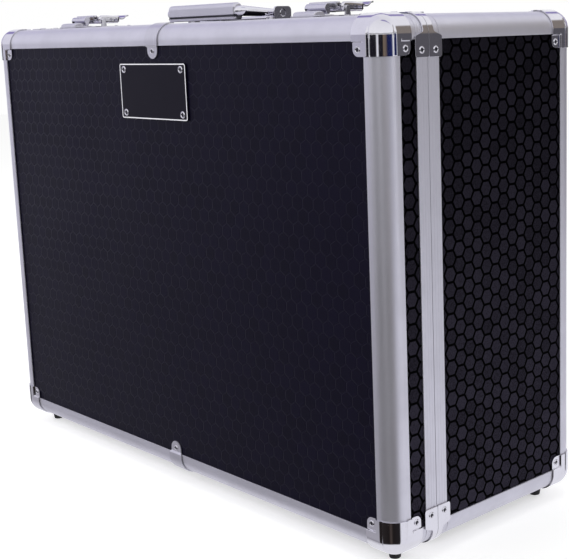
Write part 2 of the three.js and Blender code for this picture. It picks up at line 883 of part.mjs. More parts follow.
// One shell with its trim. Depth runs from the shell's face, at y zero, to the parting line.
function shell(name, shellDepth, slotDepth, closingSection) {
  const group = new THREE.Group();
  group.add(named(`${name}_panel`, panelBoard(), laminate));
  group.add(named(`${name}_wall`, wallRing(shellDepth, slotDepth), laminate));
  group.add(named(`${name}_closing_frame`, frameAlong(closingSection, fullRound(), true), aluminium));
  const stripGeometry = cornerStrip(shellDepth);
  for (const [side, signX] of sidePlaces) {
    const half = named(`${name}_edge_${side}`, edgeGeometry, aluminium);
    half.scale.x = signX;
    group.add(half);
  }
  for (const [corner, signX, signZ] of cornerPlaces) {
    const placed = new THREE.Group();
    placed.position.set(signX * halfWidth, 0, signZ * halfHeight);
    placed.scale.set(-signX, 1, -signZ);
    placed.add(named(`${name}_corner_strip_${corner}`, stripGeometry, aluminium));
    placed.add(named(`${name}_ball_corner_${corner}`, capGeometry, chrome));
    const bracket = named(`${name}_bracket_${corner}`, bracketGeometry, chrome);
    bracket.position.y = shellDepth;
    bracket.scale.y = -1;
    placed.add(bracket);
    group.add(placed);
  }
  for (const [level, signZ] of [['top', 1], ['bottom', -1]]) {
    const clip = named(`${name}_clip_${level}`, clipGeometry, chrome);
    clip.position.z = signZ * halfHeight;
    clip.scale.z = -signZ;
    group.add(clip);
  }
  for (const [side, signX] of sidePlaces) {
    const foot = named(`${name}_foot_${side}`, rubberFoot(), rubber);
    foot.position.set(signX * (halfWidth - footInset), footInset, -halfHeight - footHeight);
    group.add(foot);
  }
  return group;
}

const flightCase = new THREE.Group();
const body = new THREE.Group();
body.position.z = footHeight + halfHeight;
flightCase.add(body);

const lid = shell('lid', lidDepth, grooveDepth + metal, grooveSection(lidDepth));
lid.position.y = -caseDepth / 2;
lid.add(named('lid_foam', lidFoam(), foam));
const nameplate = named('nameplate', nameplateBody(), plateBlack);
nameplate.position.set(nameplateShift, 0, halfHeight - nameplateDrop);
lid.add(nameplate);
body.add(lid);

const base = shell('base', baseDepth, metal, tongueSection(baseDepth));
base.position.y = caseDepth / 2;
base.scale.y = -1;
base.add(named('base_foam', baseFoam(), foam));
body.add(base);

// Hardware on the parting line, with y zero there
const hardware = new THREE.Group();
hardware.position.y = lidDepth - caseDepth / 2;
body.add(hardware);

const onTop = new THREE.Group();
onTop.position.z = halfHeight;
hardware.add(onTop);

for (const [side, signX] of sidePlaces) {
  const outer = named(`lid_hinge_leaf_${side}`, outerLeaf(), satin);
  outer.position.set(signX * hingeSpread, 0, -halfHeight);
  outer.scale.y = -1;
  hardware.add(outer);
  const inner = named(`base_hinge_leaf_${side}`, innerLeaf(), satin);
  inner.position.set(signX * hingeSpread, 0, -halfHeight);
  hardware.add(inner);

  const latch = new THREE.Group();
  latch.position.x = signX * latchSpread;
  latch.add(named(`latch_plate_${side}`, latchPlate(), chrome));
  const strike = named(`striker_${side}`, striker(), satin);
  strike.scale.y = -1;
  latch.add(strike);
  const lever = named(`latch_lever_${side}`, latchLever(), chrome);
  lever.position.set(0, leverPivotBack, leverPivotHeight);
  latch.add(lever);
  const claw = named(`latch_claw_${side}`, latchClaw(), satin);
  claw.position.set(0, leverPivotBack + clawPivotBack, leverPivotHeight + clawPivotRise);
  latch.add(claw);
  onTop.add(latch);
}

const handle = new THREE.Group();
handle.position.set(0, handlePivotBack, -boardFace);
handle.add(named('handle_plate', handlePlate(), chrome));
const bail = named('handle_bail', handleBail(), chrome);
bail.position.z = handlePivotHeight;
handle.add(bail);
const grip = named('handle_grip', handleGrip(), satin);
grip.position.z = handlePivotHeight;
handle.add(grip);
onTop.add(handle);

export default flightCase;
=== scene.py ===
"""Aluminium flight case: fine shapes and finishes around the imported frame.

Metres, +Z up, lid towards -Y, the case standing on its feet with the latches and the handle on top.
"""

import math

import bmesh
import bpy
from mathutils import Matrix, Vector
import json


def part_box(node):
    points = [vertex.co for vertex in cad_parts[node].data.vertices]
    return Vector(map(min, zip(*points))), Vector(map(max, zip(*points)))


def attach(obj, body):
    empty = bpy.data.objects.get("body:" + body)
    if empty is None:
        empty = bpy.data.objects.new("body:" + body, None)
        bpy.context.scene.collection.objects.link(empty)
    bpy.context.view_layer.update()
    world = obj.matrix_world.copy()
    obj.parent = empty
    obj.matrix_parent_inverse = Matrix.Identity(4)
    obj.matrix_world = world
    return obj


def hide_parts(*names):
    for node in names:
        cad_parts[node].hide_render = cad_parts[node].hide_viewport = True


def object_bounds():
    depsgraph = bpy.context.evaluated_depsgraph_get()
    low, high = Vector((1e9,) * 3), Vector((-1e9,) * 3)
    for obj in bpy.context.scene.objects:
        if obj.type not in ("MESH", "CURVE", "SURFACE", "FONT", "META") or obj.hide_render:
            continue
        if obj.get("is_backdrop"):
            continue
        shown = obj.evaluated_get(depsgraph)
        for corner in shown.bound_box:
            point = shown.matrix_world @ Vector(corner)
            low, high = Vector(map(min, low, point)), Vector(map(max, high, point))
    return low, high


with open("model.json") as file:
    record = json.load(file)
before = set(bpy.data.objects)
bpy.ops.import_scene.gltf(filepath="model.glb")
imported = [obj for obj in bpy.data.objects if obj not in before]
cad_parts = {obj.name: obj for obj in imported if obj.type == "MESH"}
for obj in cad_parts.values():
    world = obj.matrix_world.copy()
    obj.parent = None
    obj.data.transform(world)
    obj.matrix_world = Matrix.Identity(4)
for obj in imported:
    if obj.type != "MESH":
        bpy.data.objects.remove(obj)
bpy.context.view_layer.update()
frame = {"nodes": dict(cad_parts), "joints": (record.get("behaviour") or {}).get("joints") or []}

mm = 0.001

# Outside of the aluminium, from the frame
SIDE_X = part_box("lid_edge_right")[1].x
TOP_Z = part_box("lid_edge_right")[1].z
BOTTOM_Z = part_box("lid_edge_right")[0].z
FRONT_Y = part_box("lid_edge_right")[0].y
BACK_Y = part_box("base_edge_right")[1].y
MIDDLE_Z = (TOP_Z + BOTTOM_Z) / 2
PARTING_GAP = 0.3 * mm
PARTING_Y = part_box("lid_closing_frame")[1].y + PARTING_GAP / 2
LID_DEPTH = PARTING_Y - FRONT_Y
BASE_DEPTH = BACK_Y - PARTING_Y

# Boards and extrusions
GAP = 0.3 * mm
METAL = 1.3 * mm
BOARD = 4 * mm
EDGE_RADIUS = 16 * mm
EDGE_FLANGE = 20 * mm
SLOT_BOTTOM = 11 * mm
SLOT_LIP = 6 * mm
HALF_JOINT_GAP = 0.4 * mm
LIP_ROUND = 0.35 * mm
BOARD_FACE = METAL + GAP
BOARD_BACK = BOARD_FACE + BOARD
INNER_FLANGE = BOARD_BACK + GAP
BEND_STEPS = 12
WRAP_STEPS = 16

# Closing profiles
CLOSING_BAND = 12.8 * mm
GROOVE_DEPTH = 4.8 * mm
TONGUE_LENGTH = 4 * mm
TONGUE_THICKNESS = 1.5 * mm
TONGUE_INSET = 2.5 * mm
RIDGE_COUNT = 3
RIDGE_WIDTH = 0.8 * mm
RIDGE_DEPTH = 0.13 * mm

# Pressed steel trim
SHEET = 1 * mm
TRIM_OUTER = GAP + SHEET
TRIM_RADIUS = EDGE_RADIUS + TRIM_OUTER
CAP_LEG = 32 * mm
CAP_FREE_RADIUS = 6 * mm
CAP_STEP = 0.9 * mm
CAP_GROOVE_DEPTH = 0.7 * mm
CAP_GROOVE_RISE = 0.8 * mm
CAP_GROOVE_FALL = 2.4 * mm
CAP_GROOVE_SHIFT = 3.4 * mm
CAP_GROOVE_START = 0.2
STEP_DEPTH = TRIM_OUTER + METAL - SHEET
BRACKET_LEG = 34 * mm
BRACKET_WIDTH = 15.3 * mm
BRACKET_BAND = 6 * mm
BRACKET_SHOULDER_START = 13.5 * mm
BRACKET_SHOULDER_END = 18 * mm
BRACKET_END_ROUND = 2.2 * mm
BRACKET_ROWS = (3 * mm, 6 * mm)
CLIP_HALF_WIDTH = 10 * mm
CLIP_TONGUE_HALF_WIDTH = 8 * mm
CLIP_REACH = 32 * mm
CLIP_STEP = 2.4 * mm
CLIP_STEP_START = EDGE_FLANGE + GAP - 1 * mm
CLIP_TIP_HALF_WIDTH = 0.2 * mm
RIM_ROUND = 0.25 * mm
PIN_RIM = 0.2 * mm
PIN_SIDES = 24
MERGE_REACH = 0.002 * mm
LINE_ROOM = 0.2 * mm

# Rivets of the trim
RIVET_INSET = 26.6 * mm
RIVET_RIM = 2.9 * mm
RIVET_HOLE = 1.5 * mm
RIVET_HEIGHT = 0.75 * mm
BRACKET_RIVET_BACK = 8 * mm
BRACKET_RIVET_DOWN = 28.2 * mm
CLIP_RIVET_DOWN = 25 * mm

CORNERS = (
    ("top_left", -1, 1),
    ("top_right", 1, 1),
    ("bottom_left", -1, -1),
    ("bottom_right", 1, -1),
)
SIDES = (("left", -1), ("right", 1))
LEVELS = (("top", 1), ("bottom", -1))


class Shell:
    """One half of the case. Depth is measured from its face towards the parting line."""

    def __init__(self, name, face_y, inward, depth):
        self.name = name
        self.face_y = face_y
        self.inward = inward
        self.depth = depth

    def y(self, depth):
        return self.face_y + self.inward * depth


LID = Shell("lid", FRONT_Y, 1, LID_DEPTH)
BASE = Shell("base", BACK_Y, -1, BASE_DEPTH)
SHELLS = (LID, BASE)


class Graph:
    """Short way to place and join the nodes of one tree."""

    def __init__(self, tree):
        self.tree = tree

    def node(self, kind, inputs=None, **settings):
        made = self.tree.nodes.new(kind)
        for name, value in settings.items():
            setattr(made, name, value)
        for key, value in (inputs or {}).items():
            self.feed(made.inputs[key], value)
        return made

    def out(self, kind, inputs=None, **settings):
        """First output of a new node."""
        return self.node(kind, inputs, **settings).outputs[0]

    def feed(self, socket, value):
        if isinstance(value, bpy.types.NodeSocket):
            self.tree.links.new(value, socket)
        else:
            socket.default_value = value

    def math(self, operation, *values):
        return self.out("ShaderNodeMath", dict(enumerate(values)), operation=operation)

    def vector(self, operation, *values):
        return self.out("ShaderNodeVectorMath", dict(enumerate(values)), operation=operation)

    def measure(self, operation, *values):
        """Number that an operation on vectors gives."""
        inputs = dict(enumerate(values))
        return self.node("ShaderNodeVectorMath", inputs, operation=operation).outputs["Value"]

    def parts(self, vector):
        return self.node("ShaderNodeSeparateXYZ", {0: vector}).outputs

    def combined(self, x=0.0, y=0.0, z=0.0):
        return self.out("ShaderNodeCombineXYZ", {0: x, 1: y, 2: z})

    def ramp(self, value, low, high, to_low=0.0, to_high=1.0, smooth=True):
        inputs = {"Value": value, "From Min": low, "From Max": high}
        inputs.update({"To Min": to_low, "To Max": to_high})
        kind = "SMOOTHSTEP" if smooth else "LINEAR"
        return self.out("ShaderNodeMapRange", inputs, interpolation_type=kind)

    def mix(self, factor, first, second):
        """Number between two others."""
        return self.out("ShaderNodeMix", {0: factor, 2: first, 3: second})

    def blend(self, factor, first, second):
        """Colour between two others."""
        inputs = {0: factor, 6: first, 7: second}
        return self.node("ShaderNodeMix", inputs, data_type="RGBA").outputs[2]

    def noise(self, vector, scale, detail, roughness):
        inputs = {"Vector": vector, "Scale": scale, "Detail": detail, "Roughness": roughness}
        return self.out("ShaderNodeTexNoise", inputs)


def shader_group(name, inputs, outputs):
    """New shader node group. Inputs and outputs are pairs of a name and a kind of socket."""
    tree = bpy.data.node_groups.new(name, "ShaderNodeTree")
    for way, sockets in (("INPUT", inputs), ("OUTPUT", outputs)):
        for label, kind in sockets:
            tree.interface.new_socket(label, in_out=way, socket_type=kind)
    graph = Graph(tree)
    return graph, graph.node("NodeGroupInput").outputs, graph.node("NodeGroupOutput").inputs


# Shared effects

VECTOR = "NodeSocketVector"
NUMBER = "NodeSocketFloat"
COLOUR = "NodeSocketColor"
HEX_SLANT = math.sqrt(3) / 2
HEX_LINE_CORE = 0.6
CELL_SHIFT = 0.1 * mm
CELL_SNAP = 0.5 * mm
CLOUD_SCALE = 28.0
CLOUD_SPAN = (0.35, 0.7)
SCRATCH_SCALE = 160.0
SCRATCH_SPAN = (0.68, 0.78)
SCRATCH_TURN = (0.4, 0.9, 0.3)
SCRATCH_STRETCH = (1.0, 9.0, 3.0)


def make_honeycomb():
    """Hexagons with two level sides: a mask of the lines between them and a value for each cell."""
    inputs = [("Vector", VECTOR), ("Pitch", NUMBER), ("Line", NUMBER)]
    graph, given, result = shader_group("honeycomb", inputs, [("Line", NUMBER), ("Cell", NUMBER)])
    half = graph.math("MULTIPLY", given["Pitch"], 0.5)
    top = graph.combined(graph.math("MULTIPLY", given["Pitch"], HEX_SLANT), half)
    low = graph.vector("MULTIPLY", top, (-1.0, -1.0, -1.0))
    flat = graph.vector("MULTIPLY", given["Vector"], (1.0, 1.0, 0.0))
    first = graph.vector("WRAP", flat, top, low)
    second = graph.vector("WRAP", graph.vector("ADD", flat, top), top, low)
    away, near = graph.measure("LENGTH", second), graph.measure("LENGTH", first)
    choice = {0: graph.math("LESS_THAN", away, near), 4: first, 5: second}
    chosen = graph.node("ShaderNodeMix", choice, data_type="VECTOR").outputs[1]
    x, y, _ = graph.parts(graph.vector("ABSOLUTE", chosen))
    slant = graph.math("MULTIPLY_ADD", y, 0.5, graph.math("MULTIPLY", x, HEX_SLANT))
    reach = graph.math("MAXIMUM", y, slant)
    start = graph.math("SUBTRACT", half, given["Line"])
    end = graph.math("MULTIPLY_ADD", given["Line"], -HEX_LINE_CORE, half)
    graph.feed(result["Line"], graph.ramp(reach, start, end))
    centre = graph.vector("SUBTRACT", flat, chosen)
    centre = graph.vector("ADD", centre, (CELL_SHIFT, CELL_SHIFT, 0.0))
    spot = graph.vector("SNAP", centre, (CELL_SNAP,) * 3)
    cell = graph.node("ShaderNodeTexWhiteNoise", {"Vector": spot}, noise_dimensions="3D")
    graph.feed(result["Cell"], cell.outputs["Value"])
    return graph.tree


def make_smudges():
    """Handling marks: broad cloudy patches and short fine scratches, both from 0 to 1."""
    outputs = [("Cloud", NUMBER), ("Scratch", NUMBER)]
    graph, given, result = shader_group("smudges", [("Vector", VECTOR), ("Size", NUMBER)], outputs)
    scale = graph.math("MULTIPLY", given["Size"], CLOUD_SCALE)
    cloud = graph.noise(given["Vector"], scale, detail=4.0, roughness=0.6)
    graph.feed(result["Cloud"], graph.ramp(cloud, *CLOUD_SPAN))
    turned = graph.out("ShaderNodeMapping", {"Vector": given["Vector"], "Rotation": SCRATCH_TURN})
    drawn = graph.vector("MULTIPLY", turned, SCRATCH_STRETCH)
    scale = graph.math("MULTIPLY", given["Size"], SCRATCH_SCALE)
    scratch = graph.noise(drawn, scale, detail=1.0, roughness=0.4)
    graph.feed(result["Scratch"], graph.ramp(scratch, *SCRATCH_SPAN))
    return graph.tree


def make_grain():
    """Fine grain as a height from 0 to 1, drawn out along the directions with a small stretch."""
    inputs = [("Vector", VECTOR), ("Scale", NUMBER), ("Stretch", VECTOR)]
    graph, given, result = shader_group("grain", inputs, [("Height", NUMBER)])
    drawn = graph.vector("MULTIPLY", given["Vector"], given["Stretch"])
    graph.feed(result["Height"], graph.noise(drawn, given["Scale"], detail=2.0, roughness=0.6))
    return graph.tree


HONEYCOMB = make_honeycomb()
SMUDGES = make_smudges()
GRAIN = make_grain()


# Materials

CHROME_COLOUR = (0.80, 0.79, 0.83)
NICKEL_COLOUR = (0.68, 0.67, 0.73)
SILVER_COLOUR = (0.93, 0.92, 0.98)
# Dark colour painted into the rivet holes and the grip's groove as shade
HOLLOW_SHADE_COLOUR = (0.05, 0.05, 0.06)
ENAMEL_COLOUR = (0.004, 0.003, 0.009)
RUBBER_COLOUR = (0.012, 0.012, 0.013)
FOAM_COLOUR = (0.022, 0.022, 0.025)
ANODISED = {"colour": (0.715, 0.705, 0.775), "roughness": 0.38, "clouded": 0.05, "metallic": 0.82}

# Scale of a grain and its stretch along x, y and z
DRAWN_UPWARDS = (900.0, (1.0, 1.0, 0.03))
DRAWN_ACROSS = (900.0, (0.03, 1.0, 1.0))
BRUSHED_ACROSS = (1400.0, (0.08, 1.0, 1.0))
NO_STRETCH = (1.0, 1.0, 1.0)

CLOUD_TINT = 0.94
ENAMEL_SHINE = 0.12
ENAMEL_SCALE = 1800.0
RUBBER_SCALE = 900.0
RUBBER_SPAN = (0.3, 0.7)
FOAM_SCALE = 700.0
FOAM_SPAN = (0.15, 0.6)
FOAM_CLOUD_SHARE = 0.3
FOAM_PORE_SHARE = 0.7
FOAM_SHEEN = 0.25
FOAM_SHEEN_ROUGHNESS = 0.5

# Strength and depth of each relief
METAL_RELIEF = (0.6, 0.02 * mm)
ENAMEL_RELIEF = (0.25, 0.03 * mm)
RUBBER_RELIEF = (0.5, 0.2 * mm)
FOAM_RELIEF = (0.7, 0.6 * mm)
FILM_RELIEF = (0.35, 0.25 * mm)

# Honeycomb film. The floor bounce is painted light: how much lighter the cells get down towards the
# floor
HEX_PITCH = 13.3 * mm
HEX_LINE_ROUGHNESS = 0.22
FILM_SCALE = 850.0
FILM_SIDE_FACING = 0.7
FILM_CELL_SHARE = 0.2
FILM_GRAIN_SHARE = 1.1
FILM_TONE_SPAN = (0.3, 0.9)
FILM_MIDDLE_TINT = 1.1
FILM_CLOUDED = 0.06
FILM_GRAIN_HEIGHT = 0.35
# Face copy of the film: its lines are lighter than the fill, a painted reflection of the room
FILM_PAINTED_FOR_FACE = {
    "fill": (0.0016, 0.0008, 0.0080),
    "line": (0.0040, 0.0032, 0.0120),
    "line_width": 0.85 * mm,
    "shine": 0.118,
    "roughness": 0.38,
    "painted_floor_bounce": 1.0,
    "contrast": 0.4,
    "on_face": True,
}
# Wall copy of the same film: a paler fill as painted sheen, and near-black lines as a painted dark
# reflection
FILM_PAINTED_FOR_WALLS = {
    "fill": (0.0057, 0.0051, 0.0078),
    "line": (0.0002, 0.0002, 0.0004),
    "line_width": 1.4 * mm,
    "shine": 0.008,
    "roughness": 0.5,
    "painted_floor_bounce": 4.0,
    "contrast": 0.8,
    "on_face": False,
}


def tinted(colour, factor):
    return (*(min(part * factor, 1.0) for part in colour), 1.0)


class Finish:
    """A material with one Principled shader and the means to wire patterns into it."""

    def __init__(self, name, colour, roughness, metallic=0.0):
        self.material = bpy.data.materials.new(name)
        self.material.use_nodes = True
        self.graph = Graph(self.material.node_tree)
        self.shader = self.material.node_tree.nodes["Principled BSDF"]
        self.set("Base Color", tinted(colour, 1.0))
        self.set("Roughness", roughness)
        self.set("Metallic", metallic)
        coordinates = self.graph.node("ShaderNodeTexCoord")
        self.place = coordinates.outputs["Object"]
        self.facing = coordinates.outputs["Normal"]

    def set(self, socket, value):
        self.graph.feed(self.shader.inputs[socket], value)

    def group(self, tree, **inputs):
        made = self.graph.node("ShaderNodeGroup")
        made.node_tree = tree
        self.graph.feed(made.inputs["Vector"], inputs.pop("vector", self.place))
        for name, value in inputs.items():
            self.graph.feed(made.inputs[name], value)
        return made.outputs

    def bump(self, height, strength, distance):
        inputs = {"Height": height, "Strength": strength, "Distance": distance}
        self.set("Normal", self.graph.out("ShaderNodeBump", inputs))

    def cloud(self, size):
        return self.group(SMUDGES, Size=size)["Cloud"]

    def grain(self, scale, stretch=NO_STRETCH):
        return self.group(GRAIN, Scale=scale, Stretch=stretch)["Height"]


def metal_finish(name, colour, roughness, clouded, metallic=1.0, grain=None):
    """Metal with cloudy handling marks and, where it is drawn or brushed, a fine grain."""
    finish = Finish(name, colour, roughness, metallic)
    graph = finish.graph
    marks = finish.group(SMUDGES, Size=1.0)
    clear, cloudy = tinted(colour, 1.0), tinted(colour, CLOUD_TINT)
    finish.set("Base Color", graph.blend(marks["Cloud"], clear, cloudy))
    rough = graph.math("MULTIPLY_ADD", marks["Cloud"], clouded, roughness)
    finish.set("Roughness", graph.math("MULTIPLY_ADD", marks["Scratch"], clouded, rough))
    if grain:
        finish.bump(finish.grain(*grain), *METAL_RELIEF)
    return finish.material


def film_finish(name, fill, line, line_width, shine, roughness, painted_floor_bounce, contrast, on_face):
    """Film with hexagons: a finely grained fill and smooth lines between the cells, with the
    floor's bounce painted as cells lighter towards the bottom.
    """
    finish = Finish(name, fill, roughness)
    finish.set("Specular IOR Level", shine)
    graph = finish.graph
    x, y, z = graph.parts(finish.place)
    across, up = z, x
    if not on_face:
        sideways = graph.math("ABSOLUTE", graph.parts(finish.facing)[0])
        on_side = graph.math("GREATER_THAN", sideways, FILM_SIDE_FACING)
        across, up = graph.mix(on_side, x, y), graph.mix(on_side, y, z)
    flat = graph.combined(across, up)
    comb = finish.group(HONEYCOMB, vector=flat, Pitch=HEX_PITCH, Line=line_width)
    grain = finish.grain(FILM_SCALE)
    tone = graph.math("MULTIPLY", grain, FILM_GRAIN_SHARE)
    tone = graph.math("MULTIPLY_ADD", comb["Cell"], FILM_CELL_SHARE, tone)
    deep, pale = (tinted(fill, FILM_MIDDLE_TINT + step) for step in (-contrast, contrast))
    cells = graph.blend(graph.ramp(tone, *FILM_TONE_SPAN), deep, pale)
    # Painted floor bounce: the cells get lighter down towards the floor
    floor_bounce_scale = graph.ramp(z, BOTTOM_Z, TOP_Z, painted_floor_bounce, 1.0, smooth=False)
    cells = graph.out("ShaderNodeVectorMath", {0: cells, 3: floor_bounce_scale}, operation="SCALE")
    finish.set("Base Color", graph.blend(comb["Line"], cells, tinted(line, 1.0)))
    rough = graph.math("MULTIPLY_ADD", finish.cloud(0.4), FILM_CLOUDED, roughness)
    finish.set("Roughness", graph.mix(comb["Line"], rough, HEX_LINE_ROUGHNESS))
    lines = graph.math("MULTIPLY", comb["Line"], -1.0)
    finish.bump(graph.math("MULTIPLY_ADD", grain, FILM_GRAIN_HEIGHT, lines), *FILM_RELIEF)
    return finish.material


def enamel_finish(roughness=0.3, clouded=0.1):
    finish = Finish("black enamel", ENAMEL_COLOUR, roughness)
    finish.set("Specular IOR Level", ENAMEL_SHINE)
    rough = finish.graph.math("MULTIPLY_ADD", finish.cloud(1.5), clouded, roughness)
    finish.set("Roughness", rough)
    finish.bump(finish.grain(ENAMEL_SCALE), *ENAMEL_RELIEF)
    return finish.material


def rubber_finish(dark=0.7, worn=1.5):
    finish = Finish("black rubber", RUBBER_COLOUR, 0.75)
    grain = finish.grain(RUBBER_SCALE)
    tone = finish.graph.ramp(grain, *RUBBER_SPAN)
    shades = tinted(RUBBER_COLOUR, dark), tinted(RUBBER_COLOUR, worn)
    finish.set("Base Color", finish.graph.blend(tone, *shades))
    finish.bump(grain, *RUBBER_RELIEF)
    return finish.material


def foam_finish(dark=0.45, light=1.5):
    finish = Finish("charcoal foam", FOAM_COLOUR, 0.95)
    graph = finish.graph
    cells = graph.node("ShaderNodeTexVoronoi", {"Vector": finish.place, "Scale": FOAM_SCALE})
    pores = graph.ramp(cells.outputs["Distance"], *FOAM_SPAN)
    tone = graph.math("MULTIPLY", pores, FOAM_PORE_SHARE)
    tone = graph.math("MULTIPLY_ADD", finish.cloud(0.8), FOAM_CLOUD_SHARE, tone)
    shades = tinted(FOAM_COLOUR, dark), tinted(FOAM_COLOUR, light)
    finish.set("Base Color", graph.blend(tone, *shades))
    finish.set("Sheen Weight", FOAM_SHEEN)
    finish.set("Sheen Roughness", FOAM_SHEEN_ROUGHNESS)
    finish.bump(pores, *FOAM_RELIEF)
    return finish.material


aluminium = metal_finish("anodised aluminium", **ANODISED, grain=DRAWN_UPWARDS)
aluminium_level = metal_finish("anodised aluminium, level", **ANODISED, grain=DRAWN_ACROSS)
chrome = metal_finish("chrome plate", CHROME_COLOUR, 0.07, 0.06)
bright_nickel = metal_finish("bright nickel", NICKEL_COLOUR, 0.13, 0.06)
satin = metal_finish("satin nickel", NICKEL_COLOUR, 0.3, 0.06, 0.85, BRUSHED_ACROSS)
silver_line = metal_finish("silver line", SILVER_COLOUR, 0.3, 0.05, 0.0)
hollow_shade = metal_finish("rivet hollow", HOLLOW_SHADE_COLOUR, 0.5, 0.05)
film_lit_as_face = film_finish("honeycomb film, face", **FILM_PAINTED_FOR_FACE)
film_lit_as_walls = film_finish("honeycomb film, wall", **FILM_PAINTED_FOR_WALLS)
enamel = enamel_finish()
rubber = rubber_finish()
foam = foam_finish()


# Outlines in a plane

SHARP_TURN = math.radians(25)
ROUND_SHARE = 0.45
RIM_STEPS = 3
BEVEL_TURN = math.radians(50)
SHARP_EDGE = math.radians(40)
MITRE_LIMIT = 0.3
BOX_CORNER = 1.5


def spread(start, end, steps):
    """Evenly spaced values from start to end, both included."""
    return [start + (end - start) * step / steps for step in range(steps + 1)]


def smooth_step(value):
    value = min(max(value, 0.0), 1.0)
    return value * value * (3 - 2 * value)


def arc(centre_x, centre_y, radius, start, end, steps=BEND_STEPS):
    angles = spread(start, end, steps)
    return [(centre_x + radius * math.cos(a), centre_y + radius * math.sin(a)) for a in angles]


def bend(start, middle, end, steps):
    """Points of a smooth bend from start to end, drawn towards its middle point."""
    shares = spread(0.0, 1.0, steps)
    return [start * (1 - s) ** 2 + middle * 2 * s * (1 - s) + end * s ** 2 for s in shares]


def rounded(points, radius, steps=3):
    """Outline with its sharp corners rounded, as far as its sides are long enough."""
    result = []
    for index, point in enumerate(points):
        here = Vector(point)
        before = Vector(points[index - 1]) - here
        after = Vector(points[(index + 1) % len(points)]) - here
        turn = math.pi - before.angle(after)
        if turn < SHARP_TURN:
            result.append(tuple(here))
            continue
        shorter = min(before.length, after.length)
        reach = min(radius * math.tan(turn / 2), shorter * ROUND_SHARE)
        start = here + before.normalized() * reach
        end = here + after.normalized() * reach
        result += [tuple(spot) for spot in bend(start, here, end, steps)]
    return result


def area_of(points):
    pairs = zip(points, points[1:] + points[:1])
    return sum(ax * by - bx * ay for (ax, ay), (bx, by) in pairs) / 2


def inset_outline(points, amount):
    """Outline moved in by an amount along its mitres."""
    turned = 1 if area_of(points) > 0 else -1
    result = []
    for index, point in enumerate(points):
        here = Vector(point)
        before = (here - Vector(points[index - 1])).normalized()
        after = (Vector(points[(index + 1) % len(points)]) - here).normalized()
        normal = Vector((-before.y - after.y, before.x + after.x)) * turned
        share = max(normal.length_squared / 2, MITRE_LIMIT)
        result.append(tuple(here + normal * amount / share))
    return result


def rounded_rectangle(half_x, half_y, radius, steps=6):
    points = []
    for sign_x, sign_y, start in ((1, 1, 0), (-1, 1, 0.5), (-1, -1, 1), (1, -1, 1.5)):
        centre = (sign_x * (half_x - radius), sign_y * (half_y - radius))
        points += arc(*centre, radius, start * math.pi, (start + 0.5) * math.pi, steps)
    return points


def rectangle(low_x, high_x, low_y, high_y):
    return [(low_x, low_y), (high_x, low_y), (high_x, high_y), (low_x, high_y)]


# Meshes

def mesh_from(vertices, faces):
    """Mesh without doubles and faces without area, with its faces outwards."""
    mesh = bpy.data.meshes.new("part")
    mesh.from_pydata([tuple(vertex) for vertex in vertices], [], faces)
    work = bmesh.new()
    work.from_mesh(mesh)
    bmesh.ops.remove_doubles(work, verts=work.verts, dist=MERGE_REACH)
    bmesh.ops.dissolve_degenerate(work, edges=work.edges, dist=MERGE_REACH / 2)
    bmesh.ops.recalc_face_normals(work, faces=work.faces)
    work.to_mesh(mesh)
    work.free()
    return mesh


def grid_faces(rows, columns, start=0):
    """Faces between the points of a grid that is listed row by row."""
    faces = []
    for row in range(rows - 1):
        for column in range(columns - 1):
            corner = start + row * columns + column
            faces.append((corner, corner + 1, corner + columns + 1, corner + columns))
    return faces


def skin(rings, looped=False, closed_ring=True):
    """Mesh over a row of rings with equal numbers of points, with a face over each open end."""
    count = len(rings[0])
    vertices = [point for ring in rings for point in ring]
    faces = []
    for ring in range(len(rings) if looped else len(rings) - 1):
        here = ring * count
        there = (ring + 1) % len(rings) * count
        for index in range(count if closed_ring else count - 1):
            after = (index + 1) % count
            faces.append((here + index, here + after, there + after, there + index))
    if not looped and closed_ring:
        faces.append(tuple(range(count)))
        faces.append(tuple(range(len(vertices) - count, len(vertices))))
    return mesh_from(vertices, faces)


def prism(outline, low, high, axes="xyz", rim=RIM_ROUND):
    """Solid of an outline in the first two axes, drawn out along the third, with rounded rims."""
    order = ["xyz".index(axis) for axis in axes]
    turns = spread(0.0, math.pi / 2, RIM_STEPS)
    levels = [(low + rim * (1 - math.cos(a)), rim * (1 - math.sin(a))) for a in turns]
    levels += [(high + low - level, inset) for level, inset in reversed(levels)]
    rings = []
    for level, inset in levels:
        ring = []
        for spot in inset_outline(outline, inset):
            point = [0.0, 0.0, 0.0]
            for axis, value in zip(order, (*spot, level)):
                point[axis] = value
            ring.append(point)
        rings.append(ring)
    return skin(rings)


def box(low, high, rim=RIM_ROUND):
    outline = rectangle(low[0], high[0], low[1], high[1])
    return prism(rounded(outline, rim * BOX_CORNER), low[2], high[2], "xyz", rim)


def lathe(profile, sides=32):
    """Turned solid about z. The profile runs from axis to axis as pairs of radius and height."""
    rings = []
    for side in range(sides):
        angle = 2 * math.pi * side / sides
        rings.append([(r * math.cos(angle), r * math.sin(angle), z) for r, z in profile])
    return skin(rings, looped=True, closed_ring=False)


def placed(mesh, matrix):
    """Moves a mesh, and keeps its faces outwards where the matrix mirrors it."""
    mesh.transform(matrix)
    if matrix.determinant() < 0:
        mesh.flip_normals()
    return mesh


def moved(mesh, x, y, z):
    return placed(mesh, Matrix.Translation((x, y, z)))


def pin_mesh(radius, start, end, y, z, rim=PIN_RIM):
    """Round pin along x with a bevelled rim at each end."""
    length = end - start
    half = [(0.0, 0.0), (radius - rim, 0.0), (radius, rim)]
    profile = half + [(radius, length - rim), (radius - rim, length), (0.0, length)]
    rod = lathe(profile, PIN_SIDES)
    placed(rod, Matrix.Translation((start, 0, 0)) @ Matrix.Rotation(math.pi / 2, 4, "Y"))
    return moved(rod, 0, y, z)


def linked(data, name="part"):
    thing = bpy.data.objects.new(name, data)
    bpy.context.scene.collection.objects.link(thing)
    return thing


